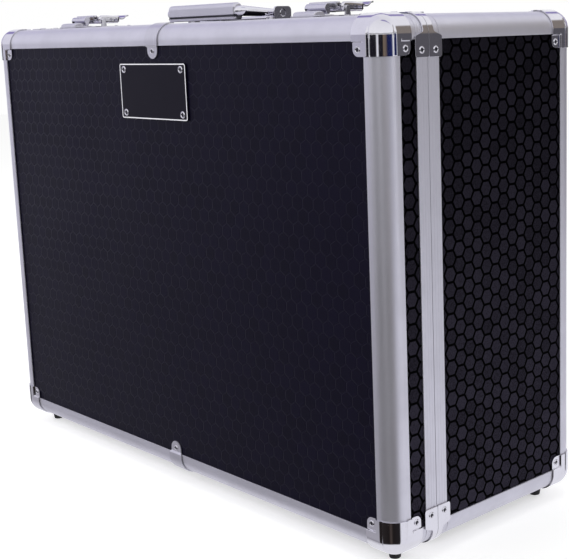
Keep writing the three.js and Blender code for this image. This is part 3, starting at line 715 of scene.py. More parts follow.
def settled(thing):
    """The mesh of an object with its modifiers applied. The object is removed."""
    graph = bpy.context.evaluated_depsgraph_get()
    mesh = bpy.data.meshes.new_from_object(thing.evaluated_get(graph))
    bpy.data.objects.remove(thing)
    return mesh


def combine(mesh, operation, tools):
    """Mesh after a boolean with each tool mesh."""
    thing = linked(mesh)
    helpers = [linked(tool) for tool in tools]
    for helper in helpers:
        modifier = thing.modifiers.new("cut", "BOOLEAN")
        modifier.operation = operation
        modifier.solver = "EXACT"
        modifier.object = helper
    result = settled(thing)
    for helper in helpers:
        bpy.data.objects.remove(helper)
    return result


def carved(mesh, *tools):
    return combine(mesh, "DIFFERENCE", tools)


def united(first, *rest):
    return combine(first, "UNION", rest)


def piece(name, mesh, material, body, nodes=(), bevel=0.0, sharp=SHARP_EDGE):
    """Finished piece: bevelled, with weighted normals, riding on its body in place of its nodes."""
    mesh.materials.clear()
    mesh.materials.append(material)
    thing = linked(mesh, name)
    if bevel:
        modifier = thing.modifiers.new("rims", "BEVEL")
        modifier.width = bevel
        modifier.segments = 2
        modifier.limit_method = "ANGLE"
        modifier.angle_limit = BEVEL_TURN
    mesh = settled(thing)
    mesh.polygons.foreach_set("use_smooth", [True] * len(mesh.polygons))
    mesh.set_sharp_from_angle(angle=sharp)
    thing = linked(mesh, name)
    thing.modifiers.new("shading", "WEIGHTED_NORMAL").keep_sharp = True
    mesh = settled(thing)
    mesh.name = name
    thing = linked(mesh, name)
    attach(thing, body)
    if nodes:
        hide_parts(*nodes)
    return thing


# Frames along the case's outline. A station places a point by its inset from the outline.

def corner_station(sign_x, sign_z, angle):
    def place(inset):
        centre = max(EDGE_RADIUS, inset)
        reach = max(EDGE_RADIUS - inset, 0.0)
        x = sign_x * (SIDE_X - centre) + reach * math.cos(angle)
        z = MIDDLE_Z + sign_z * (TOP_Z - MIDDLE_Z - centre) + reach * math.sin(angle)
        return x, z
    return place


def corner_stations(sign_x, sign_z, start):
    angles = [start + math.pi / 2 * step / BEND_STEPS for step in range(BEND_STEPS + 1)]
    return [corner_station(sign_x, sign_z, angle) for angle in angles]


def full_round():
    stations = []
    for quarter, signs in enumerate(((1, 1), (-1, 1), (-1, -1), (1, -1))):
        stations += corner_stations(*signs, quarter * math.pi / 2)
    return stations


def half_round(sign_x):
    start = sign_x * HALF_JOINT_GAP / 2
    if sign_x > 0:
        lower = corner_stations(1, -1, -math.pi / 2)
        upper = corner_stations(1, 1, 0)
    else:
        lower = corner_stations(-1, -1, math.pi)[::-1]
        upper = corner_stations(-1, 1, math.pi / 2)[::-1]
    first = [lambda inset: (start, BOTTOM_Z + inset)]
    last = [lambda inset: (start, TOP_Z - inset)]
    return first + lower + upper + last


def frame_sweep(shell, section, stations, looped):
    rings = []
    for place in stations:
        ring = []
        for inset, depth in section:
            x, z = place(inset)
            ring.append((x, shell.y(depth), z))
        rings.append(ring)
    return skin(rings, looped)


def edge_section():
    """Extrusion with a rounded back and two slots, one for the panel and one for the wall."""
    lip_end = SLOT_BOTTOM + SLOT_LIP
    web = SLOT_BOTTOM - METAL
    lip_back = INNER_FLANGE + METAL
    inner = EDGE_RADIUS - METAL
    trim = math.asin((EDGE_RADIUS - web) / inner)
    outer_bend = arc(EDGE_RADIUS, EDGE_RADIUS, EDGE_RADIUS, math.pi * 1.5, math.pi)
    inner_bend = arc(EDGE_RADIUS, EDGE_RADIUS, inner, math.pi + trim, math.pi * 1.5 - trim)
    points = [
        (EDGE_FLANGE, 0.0),
        *outer_bend,
        (0.0, EDGE_FLANGE),
        (METAL, EDGE_FLANGE),
        (METAL, SLOT_BOTTOM),
        (INNER_FLANGE, SLOT_BOTTOM),
        (INNER_FLANGE, lip_end),
        (lip_back, lip_end),
        (lip_back, web),
        *inner_bend,
        (web, lip_back),
        (lip_end, lip_back),
        (lip_end, INNER_FLANGE),
        (SLOT_BOTTOM, INNER_FLANGE),
        (SLOT_BOTTOM, METAL),
        (EDGE_FLANGE, METAL),
    ]
    return rounded(points, LIP_ROUND)


def ridges(face):
    """Fine grooves along the band, from its face towards its far end."""
    points = []
    for index in range(RIDGE_COUNT):
        middle = face - CLOSING_BAND * (index + 1) / (RIDGE_COUNT + 1)
        half = RIDGE_WIDTH / 2
        points += [(0.0, middle + half), (RIDGE_DEPTH, middle + half / 3)]
        points += [(RIDGE_DEPTH, middle - half / 3), (0.0, middle - half)]
    return points


def closing_section(shell):
    """Closing profile: ridged band outside, slot for the wall, and groove or tongue at its face."""
    face = shell.depth - PARTING_GAP / 2
    band_end = face - CLOSING_BAND
    flange_back = INNER_FLANGE + METAL
    web_front = face - GROOVE_DEPTH if shell is LID else face
    web_back = web_front - METAL
    points = [
        (0.0, face),
        *ridges(face),
        (0.0, band_end),
        (METAL, band_end),
        (METAL, web_back),
        (INNER_FLANGE, web_back),
        (INNER_FLANGE, band_end),
        (flange_back, band_end),
        (flange_back, face),
    ]
    if shell is LID:
        points += [(INNER_FLANGE, face), (INNER_FLANGE, web_front)]
        points += [(METAL, web_front), (METAL, face)]
    else:
        tongue_back = TONGUE_INSET + TONGUE_THICKNESS
        tip = face + TONGUE_LENGTH
        points += [(tongue_back, face), (tongue_back, tip)]
        points += [(TONGUE_INSET, tip), (TONGUE_INSET, face)]
    return rounded(points, LIP_ROUND)


def make_frames(shell):
    body = shell.name
    edge = edge_section()
    for side, sign_x in SIDES:
        mesh = frame_sweep(shell, edge, half_round(sign_x), False)
        node = f"{body}_edge_{side}"
        piece(f"{body}_edge_profile_{side}", mesh, aluminium, body, [node])
    mesh = frame_sweep(shell, closing_section(shell), full_round(), True)
    piece(f"{body}_closing_profile", mesh, aluminium, body, [f"{body}_closing_frame"])


# A corner of the case at its outer point, with +x, +y and +z reaching in along its edges

def corner_matrix(shell, sign_x, sign_z):
    z = TOP_Z if sign_z > 0 else BOTTOM_Z
    place = Matrix.Translation((sign_x * SIDE_X, shell.face_y, z))
    return place @ Matrix.Diagonal((-sign_x, shell.inward, -sign_z, 1.0))


def corner_strip(shell):
    start = EDGE_FLANGE + GAP
    end = shell.depth - PARTING_GAP / 2 - CLOSING_BAND - GAP
    inner = EDGE_RADIUS - METAL
    points = [
        (EDGE_FLANGE, 0.0),
        *arc(EDGE_RADIUS, EDGE_RADIUS, EDGE_RADIUS, math.pi * 1.5, math.pi),
        (0.0, EDGE_FLANGE),
        (METAL, EDGE_FLANGE),
        *arc(EDGE_RADIUS, EDGE_RADIUS, inner, math.pi, math.pi * 1.5),
        (EDGE_FLANGE, METAL),
    ]
    return prism(rounded(points, LIP_ROUND), start, end, "xzy")


def cap_lines():
    """Places of the grid lines over a face of a ball corner, from its ball to its free end."""
    radius = TRIM_RADIUS
    step_start = EDGE_FLANGE + GAP + TRIM_OUTER
    end = CAP_LEG + TRIM_OUTER
    groove_start = radius - CAP_GROOVE_SHIFT
    groove_floor = groove_start + CAP_GROOVE_RISE
    ball = [radius * (1 - math.tan(angle)) for angle in spread(math.pi / 4, 0.0, 9)]
    ball = [line for line in ball if line < groove_start - LINE_ROOM]
    groove = spread(groove_start, groove_floor, 3)[:-1]
    groove += spread(groove_floor, groove_floor + CAP_GROOVE_FALL, 6)
    before = spread(radius, step_start, 2)
    joggle = spread(step_start, step_start + CAP_STEP, 5)[1:]
    free = spread(end - CAP_FREE_RADIUS, end, 6)
    return ball + groove + before + joggle + free


def cap_free_corner(first, second):
    """Rounds the free corner of a cap's face: a square cell row turned into a quarter round."""
    start = CAP_LEG + TRIM_OUTER - CAP_FREE_RADIUS
    a = (first - start) / CAP_FREE_RADIUS
    b = (second - start) / CAP_FREE_RADIUS
    if a <= 0 or b <= 0:
        return first, second
    return (
        start + CAP_FREE_RADIUS * a * math.sqrt(1 - b * b / 2),
        start + CAP_FREE_RADIUS * b * math.sqrt(1 - a * a / 2),
    )


def cap_groove(along):
    """Depth of the groove between the ball and the flat of a face, by the way from its start."""
    if along < CAP_GROOVE_RISE:
        return CAP_GROOVE_DEPTH * smooth_step(along / CAP_GROOVE_RISE)
    return CAP_GROOVE_DEPTH * smooth_step(1 - (along - CAP_GROOVE_RISE) / CAP_GROOVE_FALL)


def cap_point(first, second, groove):
    """Point of the cap's outer face over the plane of the first two axes, with the step of its tab.

    The groove names the axis that it lies across: 0, 1, or None for a face that has none.
    """
    radius = TRIM_RADIUS
    step_start = EDGE_FLANGE + GAP + TRIM_OUTER
    u, v = cap_free_corner(first, second)
    core = Vector((max(u, radius), max(v, radius), radius))
    place = core + (Vector((u, v, 0.0)) - core).normalized() * radius
    down = smooth_step((u - step_start) / CAP_STEP) * smooth_step((v - step_start) / CAP_STEP)
    depth = STEP_DEPTH * down
    if groove is not None:
        across, along = (first, second) if groove == 0 else (second, first)
        fade = smooth_step(along / radius - CAP_GROOVE_START)
        depth += cap_groove(across - radius + CAP_GROOVE_SHIFT) * fade
    return place + Vector((0.0, 0.0, depth)) - Vector((TRIM_OUTER,) * 3)


def ball_cap():
    """Pressed ball corner: three faces that meet in a ball, each with its tab stepped down."""
    lines = cap_lines()
    count = len(lines)
    vertices = []
    faces = []
    for turn, groove in enumerate((None, 0, 1)):
        faces += grid_faces(count, count, len(vertices))
        for first in lines:
            for second in lines:
                point = cap_point(first, second, groove)
                vertices.append([point[(axis - turn) % 3] for axis in range(3)])
    mesh = mesh_from(vertices, faces)
    outward = sum(face.normal.dot(face.center - Vector((CAP_LEG,) * 3)) for face in mesh.polygons)
    if outward < 0:
        mesh.flip_normals()
    thing = linked(mesh)
    shell = thing.modifiers.new("sheet", "SOLIDIFY")
    shell.thickness = SHEET
    shell.offset = -1
    return settled(thing)


def wrap_path():
    """Path in a plane over the rounded edge of the case, as pairs of a place and the way out."""
    rounds = arc(EDGE_RADIUS, EDGE_RADIUS, TRIM_RADIUS, math.pi * 1.5, math.pi, WRAP_STEPS)
    centre = Vector((EDGE_RADIUS, EDGE_RADIUS))
    return [(spot, (Vector(spot) - centre).normalized()) for spot in rounds]


def sheet_strip(rows):
    """Pressed strip of sheet from rows of outer points, each with its way out."""
    outer = [[point for point, _ in row] for row in rows]
    inner = [[point - out * SHEET for point, out in row] for row in rows]
    rings = [top + bottom[::-1] for top, bottom in zip(outer, inner)]
    return skin(rings)


def bracket_edges(distance):
    """Span of the bracket across its width at a distance from the case's corner plane."""
    start = PARTING_GAP / 2
    share = (distance - BRACKET_SHOULDER_START) / (BRACKET_SHOULDER_END - BRACKET_SHOULDER_START)
    end = BRACKET_BAND + (BRACKET_WIDTH - BRACKET_BAND) * smooth_step(share)
    radius = BRACKET_END_ROUND
    left = BRACKET_LEG - distance
    if left < radius:
        bite = radius - math.sqrt(max(radius ** 2 - (radius - left) ** 2, 0.0))
        start += bite / 2
        end -= bite
    return start, end


def corner_bracket():
    """Bracket round a corner of the closing frame: two plates and a narrow band over the bend.

    Its depth runs along y from the parting face back over the shell.
    """
    turns = spread(0.0, math.pi / 2, 4)
    straight = [BRACKET_LEG - BRACKET_END_ROUND * (1 - math.cos(a)) for a in turns]
    straight += [BRACKET_LEG - BRACKET_END_ROUND - row for row in BRACKET_ROWS]
    shoulder = spread(BRACKET_SHOULDER_END, BRACKET_SHOULDER_START, 8)
    straight += [height for height in shoulder if height > EDGE_RADIUS]
    path = [((height, -TRIM_OUTER), (0.0, -1.0), height) for height in straight]
    path += [(spot, out, max(spot)) for spot, out in wrap_path()]
    path += [((-TRIM_OUTER, height), (-1.0, 0.0), height) for height in reversed(straight)]
    rows = []
    for (x, z), (out_x, out_z), distance in path:
        out = Vector((out_x, 0.0, out_z))
        rows.append([(Vector((x, y, z)), out) for y in spread(*bracket_edges(distance), 6)])
    return sheet_strip(rows)


def seam_clip():
    """Clip over the joint of the two edge halves, with a rounded tongue stepped down to the panel.

    Depth is y, and z runs from the edge in over the face.
    """
    level = METAL - SHEET
    tongue = CLIP_TONGUE_HALF_WIDTH
    tongue_start = CLIP_REACH - tongue
    path = [((EDGE_FLANGE, -TRIM_OUTER), (0.0, -1.0), CLIP_HALF_WIDTH)]
    path += [(spot, out, CLIP_HALF_WIDTH) for spot, out in wrap_path()]
    for share in spread(0.0, 1.0, 8):
        down = smooth_step(share)
        y = -TRIM_OUTER + (level + TRIM_OUTER) * down
        half = CLIP_HALF_WIDTH + (tongue - CLIP_HALF_WIDTH) * down
        path.append(((y, CLIP_STEP_START + CLIP_STEP * share), (-1.0, 0.0), half))
    for angle in spread(0.0, math.pi / 2, 12):
        half = max(tongue * math.cos(angle), CLIP_TIP_HALF_WIDTH)
        path.append(((level, tongue_start + tongue * math.sin(angle)), (-1.0, 0.0), half))
    rows = []
    for (y, z), (out_y, out_z), half in path:
        out = Vector((0.0, out_y, out_z))
        rows.append([(Vector((x, y, z)), out) for x in spread(-half, half, 10)])
    return sheet_strip(rows)


def make_corners(shell):
    body = shell.name
    shapes = (
        ("corner_profile", "corner_strip", corner_strip(shell), aluminium_level, "extrusion", 0.0),
        ("ball_cap", "ball_corner", ball_cap(), chrome, "chrome", RIM_ROUND),
        ("closing_bracket", "bracket", corner_bracket(), chrome, "chrome", RIM_ROUND),
    )
    from_parting = Matrix.Translation((0, shell.depth, 0)) @ Matrix.Diagonal((1, -1, 1, 1))
    for corner, sign_x, sign_z in CORNERS:
        for name, node, shape, material, slot, bevel in shapes:
            matrix = corner_matrix(shell, sign_x, sign_z)
            if node == "bracket":
                matrix = matrix @ from_parting
            mesh = placed(shape.copy(), matrix)
            nodes = [f"{body}_{node}_{corner}"]
            piece(f"{body}_{name}_{corner}", mesh, material, body, nodes, bevel)
    clip = seam_clip()
    for level, sign_z in LEVELS:
        z = TOP_Z if sign_z > 0 else BOTTOM_Z
        matrix = Matrix.Translation((0, shell.face_y, z))
        matrix = matrix @ Matrix.Diagonal((1, shell.inward, -sign_z, 1))
        mesh = placed(clip.copy(), matrix)
        node = f"{body}_clip_{level}"
        piece(f"{body}_seam_clip_{level}", mesh, satin, body, [node], RIM_ROUND)


# Nameplate: a bare black plate with a silver line along its rim

LINE_INSET = 0.4 * mm
LINE_WIDTH = 1.0 * mm
LINE_HEIGHT = 0.12 * mm
LINE_INNER_RADIUS = 0.3 * mm
PLATE_RADIUS = 2.6 * mm
PLATE_RIM = 0.35 * mm
PLATE_SINK = 0.1 * mm
PLATE_GROWTH_X = 0.7 * mm
PLATE_GROWTH_Z = 0.95 * mm
PLATE_RIVET_X = 7.6 * mm
PLATE_RIVET_Z = 5.8 * mm
PLATE_RIVET_SIZE = 1.2


def outline_ring(half_x, half_z, radius, width, low, high):
    """Flat ring that follows a rounded rectangle."""
    outer = rounded_rectangle(half_x, half_z, radius)
    inner_radius = max(radius - width, LINE_INNER_RADIUS)
    inner = rounded_rectangle(half_x - width, half_z - width, inner_radius)
    rings = []
    for (ox, oz), (ix, iz) in zip(outer, inner):
        rings.append([(ox, low, oz), (ox, high, oz), (ix, high, iz), (ix, low, iz)])
    return skin(rings, looped=True)


def make_nameplate():
    low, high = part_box("nameplate")
    centre = (low + high) / 2 + Vector((PLATE_GROWTH_X, 0, PLATE_GROWTH_Z))
    half_x = (high.x - low.x) / 2 + PLATE_GROWTH_X
    half_z = (high.z - low.z) / 2 + PLATE_GROWTH_Z
    front = low.y + LINE_HEIGHT + PLATE_SINK
    plate = prism(rounded_rectangle(half_x, half_z, PLATE_RADIUS), front, high.y, "xzy", PLATE_RIM)
    sizes = (half_x - LINE_INSET, half_z - LINE_INSET, PLATE_RADIUS - LINE_INSET, LINE_WIDTH)
    line = outline_ring(*sizes, front - LINE_HEIGHT, front + LINE_HEIGHT)
    place = (centre.x, 0, centre.z)
    piece("nameplate_blank", moved(plate, *place), enamel, "lid", ["nameplate"])
    piece("nameplate_line", moved(line, *place), silver_line, "lid")
    for sign_x in (-1, 1):
        for sign_z in (-1, 1):
            x = centre.x + sign_x * (half_x - PLATE_RIVET_X)
            z = centre.z + sign_z * (half_z - PLATE_RIVET_Z)
            add_rivet("lid", (x, front, z), (0, -1, 0), PLATE_RIVET_SIZE)


# Rivets, made by Geometry Nodes on the points that the trim asks for

DOME_RADIUS = 2.3 * mm
DOME_HEIGHT = 0.9 * mm

rivet_points = {"lid": [], "base": []}
dome_points = {"lid": [], "base": []}


def add_rivet(body, place, facing, size=1.0):
    rivet_points[body].append((Vector(place), Vector(facing), size))


def add_dome(body, place, facing, size=1.0):
    dome_points[body].append((Vector(place), Vector(facing), size))


def collect_trim_rivets():
    level = METAL - SHEET
    for shell in SHELLS:
        depth = shell.depth - BRACKET_RIVET_BACK
        for _, sign_x, sign_z in CORNERS:
            matrix = corner_matrix(shell, sign_x, sign_z)
            for axis in range(3):
                if axis == 2 and sign_z < 0:
                    continue
                place = Vector((RIVET_INSET,) * 3)
                place[axis] = level
                facing = Vector((0.0, 0.0, 0.0))
                facing[axis] = -1.0
                add_rivet(shell.name, matrix @ place, matrix.to_3x3() @ facing)
            on_side = Vector((-TRIM_OUTER, depth, BRACKET_RIVET_DOWN))
            on_level = Vector((BRACKET_RIVET_DOWN, depth, -TRIM_OUTER))
            add_rivet(shell.name, matrix @ on_side, (sign_x, 0, 0))
            add_rivet(shell.name, matrix @ on_level, (0, 0, sign_z))
        for _, sign_z in LEVELS:
            z = TOP_Z - CLIP_RIVET_DOWN if sign_z > 0 else BOTTOM_Z + CLIP_RIVET_DOWN
            add_rivet(shell.name, (0, shell.y(level), z), (0, -shell.inward, 0))


def geometry_tree(name, sizes):
    """New Geometry Nodes tree with a geometry input, named sizes and two materials."""
    tree = bpy.data.node_groups.new(name, "GeometryNodeTree")
    face = tree.interface
    face.new_socket("Geometry", in_out="INPUT", socket_type="NodeSocketGeometry")
    for label, value in sizes.items():
        socket = face.new_socket(label, in_out="INPUT", socket_type="NodeSocketFloat")
        socket.default_value = value
    for label in ("Metal", "Hollow Shade"):
        face.new_socket(label, in_out="INPUT", socket_type="NodeSocketMaterial")
    face.new_socket("Geometry", in_out="OUTPUT", socket_type="NodeSocketGeometry")
    graph = Graph(tree)
    return graph, graph.node("NodeGroupInput").outputs, graph.node("NodeGroupOutput").inputs


def instances_on_points(graph, points, shape, material, smooth):
    """Shape on every point, turned to the point's facing and scaled by its size, in a material."""
    attribute = "GeometryNodeInputNamedAttribute"
    facing = graph.out(attribute, {"Name": "facing"}, data_type="FLOAT_VECTOR")
    size = graph.out(attribute, {"Name": "size"}, data_type="FLOAT")
    turned = graph.out("FunctionNodeAlignRotationToVector", {"Vector": facing}, axis="Z")
    inputs = {"Points": points, "Instance": shape, "Rotation": turned, "Scale": size}
    made = graph.out("GeometryNodeInstanceOnPoints", inputs)
    made = graph.out("GeometryNodeRealizeInstances", {0: made})
    if smooth:
        made = graph.out("GeometryNodeSetShadeSmooth", {"Geometry": made})
    return graph.out("GeometryNodeSetMaterial", {"Geometry": made, "Material": material})


def rivet_tree():
    """Tubular rivet: a rolled rim round a hollow, with a dark disc in the hollow as painted shade,
    on each point.
    """
    sizes = {"Rim Radius": RIVET_RIM, "Hole Radius": RIVET_HOLE, "Height": RIVET_HEIGHT}
    graph, given, result = geometry_tree("tubular rivets", sizes)
    rim, hole, height = given["Rim Radius"], given["Hole Radius"], given["Height"]
    middle = graph.math("MULTIPLY", graph.math("ADD", rim, hole), 0.5)
    half = graph.math("MULTIPLY", graph.math("SUBTRACT", rim, hole), 0.5)
    path = graph.out("GeometryNodeCurvePrimitiveCircle", {"Resolution": 24, "Radius": middle})
    section = graph.out("GeometryNodeCurvePrimitiveCircle", {"Resolution": 10, "Radius": 1.0})
    scale = graph.combined(half, height, 1.0)
    section = graph.out("GeometryNodeTransform", {"Geometry": section, "Scale": scale})
    ring = graph.out("GeometryNodeCurveToMesh", {"Curve": path, "Profile Curve": section})
    ring = instances_on_points(graph, given["Geometry"], ring, given["Metal"], True)
    # Dark disc inside the rim: painted shade in the rivet's hole
    inputs = {"Vertices": 20, "Radius": middle, "Depth": graph.math("MULTIPLY", height, 0.5)}
    shade_disc = graph.out("GeometryNodeMeshCylinder", inputs)
    shade_disc = instances_on_points(graph, given["Geometry"], shade_disc, given["Hollow Shade"], False)
    both = graph.node("GeometryNodeJoinGeometry")
    graph.feed(both.inputs[0], ring)
    graph.feed(both.inputs[0], shade_disc)
    graph.feed(result[0], both.outputs[0])
    return graph.tree


def dome_tree():
    """Low domed rivet head on each point."""
    sizes = {"Head Radius": DOME_RADIUS, "Height": DOME_HEIGHT}
    graph, given, result = geometry_tree("domed rivets", sizes)
    ball = graph.out("GeometryNodeMeshUVSphere", {"Segments": 20, "Rings": 10, "Radius": 1.0})
    scale = graph.combined(given["Head Radius"], given["Head Radius"], given["Height"])
    head = graph.out("GeometryNodeTransform", {"Geometry": ball, "Scale": scale})
    graph.feed(result[0], instances_on_points(graph, given["Geometry"], head, given["Metal"], True))
    return graph.tree


def make_rivets(tree, points, name, metal):
    """One plain mesh of all rivets of a kind on each body."""
    given = [item for item in tree.interface.items_tree if item.in_out == "INPUT"]
    sockets = {item.name: item.identifier for item in given}
    for body, spots in points.items():
        mesh = bpy.data.meshes.new("points")
        mesh.from_pydata([tuple(place) for place, _, _ in spots], [], [])
        facing = mesh.attributes.new("facing", "FLOAT_VECTOR", "POINT")
        facing.data.foreach_set("vector", [part for _, way, _ in spots for part in way])
        size = mesh.attributes.new("size", "FLOAT", "POINT")
        size.data.foreach_set("value", [scale for _, _, scale in spots])
        thing = linked(mesh)
        modifier = thing.modifiers.new("rivets", "NODES")
        modifier.node_group = tree
        modifier[sockets["Metal"]] = metal
        modifier[sockets["Hollow Shade"]] = hollow_shade
        final = settled(thing)
        final.name = f"{body}_{name}"
        thing = linked(final, f"{body}_{name}")
        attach(thing, body)


# Feet and hinges

FOOT_TAPER = 1.5 * mm
FOOT_RIM = 0.8 * mm
FOOT_RIM_SHARE = 0.3
FOOT_HOLE = 1.9 * mm
FOOT_HOLLOW = 2.5 * mm
FOOT_STUB = 4 * mm
HINGE_LEAF_THICKNESS = 1.2 * mm
HINGE_LEAF_CORNER = 1.5 * mm
HINGE_RIVET_PLACES = (-0.62, 0, 0.62)
HINGE_RIVET_SIZE = 0.8
KNUCKLE_RADIUS = 2.3 * mm
KNUCKLE_SHARE = 0.36
HINGE_PIN_RADIUS = 1.1 * mm


def joint_place(name):
    return Vector(next(joint["pos_m"] for joint in frame["joints"] if joint["name"] == name))


def make_feet():
    for shell in SHELLS:
        for side, _ in SIDES:
            node = f"{shell.name}_foot_{side}"
            low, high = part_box(node)
            radius = (high.x - low.x) / 2
            sole = radius - FOOT_TAPER
            bend_in = FOOT_RIM * FOOT_RIM_SHARE
            top = BOTTOM_Z - TRIM_OUTER - GAP
            profile = [
                (0.0, FOOT_HOLLOW),
                (FOOT_HOLE, FOOT_HOLLOW),
                (FOOT_HOLE, FOOT_RIM / 2),
                (FOOT_HOLE + FOOT_RIM / 2, 0.0),
                (sole - FOOT_RIM, 0.0),
                (sole - bend_in, bend_in),
                (sole, FOOT_RIM),
                (radius, top - FOOT_RIM),
                (radius - FOOT_RIM / 2, top),
                (FOOT_STUB, top),
                (FOOT_STUB, high.z),
                (0.0, high.z),
            ]
            mesh = moved(lathe(profile), (low.x + high.x) / 2, (low.y + high.y) / 2, low.z)
            piece(f"{shell.name}_rubber_foot_{side}", mesh, rubber, shell.name, [node])


def knuckle_mesh(first, last, axis_z, inward):
    """Rolled barrel with the neck that joins it to its leaf."""
    barrel = pin_mesh(KNUCKLE_RADIUS, first, last, PARTING_Y, axis_z)
    top = BOTTOM_Z - GAP
    near, far = sorted((PARTING_Y, PARTING_Y - inward * (KNUCKLE_RADIUS + 3 * GAP)))
    neck = box((first, near, top - HINGE_LEAF_THICKNESS), (last, far, top))
    return united(barrel, neck)


def hinge_half(shell, half, start, end, axis_z):
    """Leaf with its knuckles: the middle one and the pin on the base, the outer two on the lid."""
    top = BOTTOM_Z - GAP
    share = half * KNUCKLE_SHARE
    outline = rounded(rectangle(-half, half, start, end), HINGE_LEAF_CORNER)
    leaf = prism(outline, top - HINGE_LEAF_THICKNESS, top)
    if shell is BASE:
        knuckle = knuckle_mesh(-share, share, axis_z, shell.inward)
        return united(leaf, knuckle, pin_mesh(HINGE_PIN_RADIUS, -half, half, PARTING_Y, axis_z))
    spans = ((-half, -share - GAP), (share + GAP, half))
    knuckles = [knuckle_mesh(first, last, axis_z, shell.inward) for first, last in spans]
    bore = pin_mesh(HINGE_PIN_RADIUS + GAP / 2, -2 * half, 2 * half, PARTING_Y, axis_z)
    return carved(united(leaf, *knuckles), bore)


def make_hinges():
    axis_z = joint_place("lid_hinge").z
    face = BOTTOM_Z - GAP - HINGE_LEAF_THICKNESS
    for side, _ in SIDES:
        for shell in SHELLS:
            node = f"{shell.name}_hinge_leaf_{side}"
            low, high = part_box(node)
            middle = (low.x + high.x) / 2
            half = (high.x - low.x) / 2
            start, end = low.y, PARTING_Y - KNUCKLE_RADIUS - GAP
            if shell is BASE:
                start, end = PARTING_Y + KNUCKLE_RADIUS + GAP, high.y
            mesh = moved(hinge_half(shell, half, start, end, axis_z), middle, 0, 0)
            piece(f"{shell.name}_hinge_{side}", mesh, satin, shell.name, [node])
            for share in HINGE_RIVET_PLACES:
                place = (middle + half * share, (start + end) / 2, face)
                add_dome(shell.name, place, (0, 0, -1), HINGE_RIVET_SIZE)


# Foam lining

FOAM_PITCH = 34 * mm
FOAM_WAVE = 3.2 * mm
FOAM_STEP = 4.5 * mm
FOAM_SHARP_EDGE = math.radians(60)
TRAY_WALL = 12 * mm
TRAY_FLOOR = 15 * mm
TRAY_RIM = 2 * mm
TRAY_RIM_MIDDLE = 0.6 * mm
TRAY_CORNER = 5 * mm
TRAY_CORNER_SHARE = 0.3


def egg_crate():
    """Lid foam with an egg-crate face, and square sides down to its seat."""
    low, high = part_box("lid_foam")
    across = max(int((high.x - low.x) / FOAM_STEP), 1)
    up = max(int((high.z - low.z) / FOAM_STEP), 1)
    vertices = []
    for z in spread(low.z, high.z, up):
        for x in spread(low.x, high.x, across):
            wave = math.cos(2 * math.pi * x / FOAM_PITCH)
            wave *= math.cos(2 * math.pi * (z - MIDDLE_Z) / FOAM_PITCH)
            rim = min(x - low.x, high.x - x, z - low.z, high.z - z) / (FOAM_PITCH / 3)
            vertices.append((x, high.y - FOAM_WAVE * (1 - wave * smooth_step(rim)), z))
    count = across + 1
    faces = grid_faces(up + 1, count)
    border = list(range(count))
    border += [row * count + across for row in range(1, up + 1)]
    border += [up * count + column for column in range(across - 1, -1, -1)]
    border += [row * count for row in range(up - 1, 0, -1)]
    backs = len(vertices)
    vertices += [(vertices[index][0], low.y, vertices[index][2]) for index in border]
    for index, corner in enumerate(border):
        after = (index + 1) % len(border)
        faces.append((corner, border[after], backs + after, backs + index))
    faces.append(tuple(range(backs, len(vertices))))
    return mesh_from(vertices, faces)


def foam_tray():
    """Base foam: a floor and four walls with soft rims."""
    low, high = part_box("base_foam")
    floor = high.y - TRAY_FLOOR
    half_x = (high.x - low.x) / 2
    half_z = (high.z - low.z) / 2
    drops = ((0.0, TRAY_RIM), (TRAY_RIM_MIDDLE, TRAY_RIM_MIDDLE), (TRAY_RIM, 0.0))
    profile = [(0.0, high.y)]
    profile += [(inset, low.y + drop) for inset, drop in drops]
    profile += [(TRAY_WALL - inset, low.y + drop) for inset, drop in reversed(drops)]
    profile += [(TRAY_WALL + inset, floor - drop) for inset, drop in drops]
    rings = []
    for inset, y in profile:
        corner = max(TRAY_CORNER - inset * TRAY_CORNER_SHARE, TRAY_RIM)
        ring = rounded_rectangle(half_x - inset, half_z - inset, corner)
        rings.append([(x, y, z + MIDDLE_Z) for x, z in ring])
    return skin(rings)


def make_foams():
    linings = (("lid", "lid_egg_crate_foam", egg_crate()), ("base", "base_foam_tray", foam_tray()))
    for body, name, mesh in linings:
        lining = piece(name, mesh, foam, body, [f"{body}_foam"], sharp=FOAM_SHARP_EDGE)


# Draw latches. Depth is measured from the pivot back over the base, height from the pivot up

LATCH_PLATE = 1.2 * mm
LATCH_PLATE_RIM = 0.3 * mm
LATCH_CORNER = 3 * mm
LATCH_RIVET_SIDE = 2.6 * mm
LATCH_RIVETS_BACK = (4.2 * mm, 20 * mm)
LATCH_RIVET_SIZE = 0.8
EAR_THICKNESS = 1.6 * mm
EAR_ROUND = 2.3 * mm
EAR_FOOT = 3.2 * mm
EAR_PIN = 1.5 * mm
CUTTER_RIM = 0.1 * mm

LEVER_NOSE = 5.2 * mm
LEVER_HEIGHT = 5.6 * mm
LEVER_REAR_HEIGHT = 4.6 * mm
LEVER_FLOOR = 3 * mm
LEVER_EDGE = 2.2 * mm
LEVER_BEND = 0.8 * mm
LEVER_SHEET = 1.4 * mm
LEVER_BODY_END = 21 * mm
LEVER_HEEL = 2 * mm
LEVER_SHOULDER = 5.5 * mm
LEVER_DECK_START = 16 * mm
LEVER_CUT_START = 15 * mm
LEVER_TAB_START = 19 * mm
LEVER_TAB_END = 32.5 * mm
LEVER_TAB_DIP = 2.4 * mm
LEVER_TAB_DIP_RATE = 1.25
LEVER_TAB_RISE_RATE = 1.6
LEVER_TAB_RISE_DELAY = 0.6
LEVER_TAB_INSET = 0.6 * mm
LEVER_TAB_RIM = 0.4 * mm
LEVER_PIVOT_HOLE = 1.8 * mm
LEVER_CLAW_HOLE = 1.5 * mm
LEVER_WINDOW_BACK = 15.5 * mm
LEVER_WINDOW_RISE = 0.4 * mm
LEVER_WINDOW_LENGTH = 5 * mm
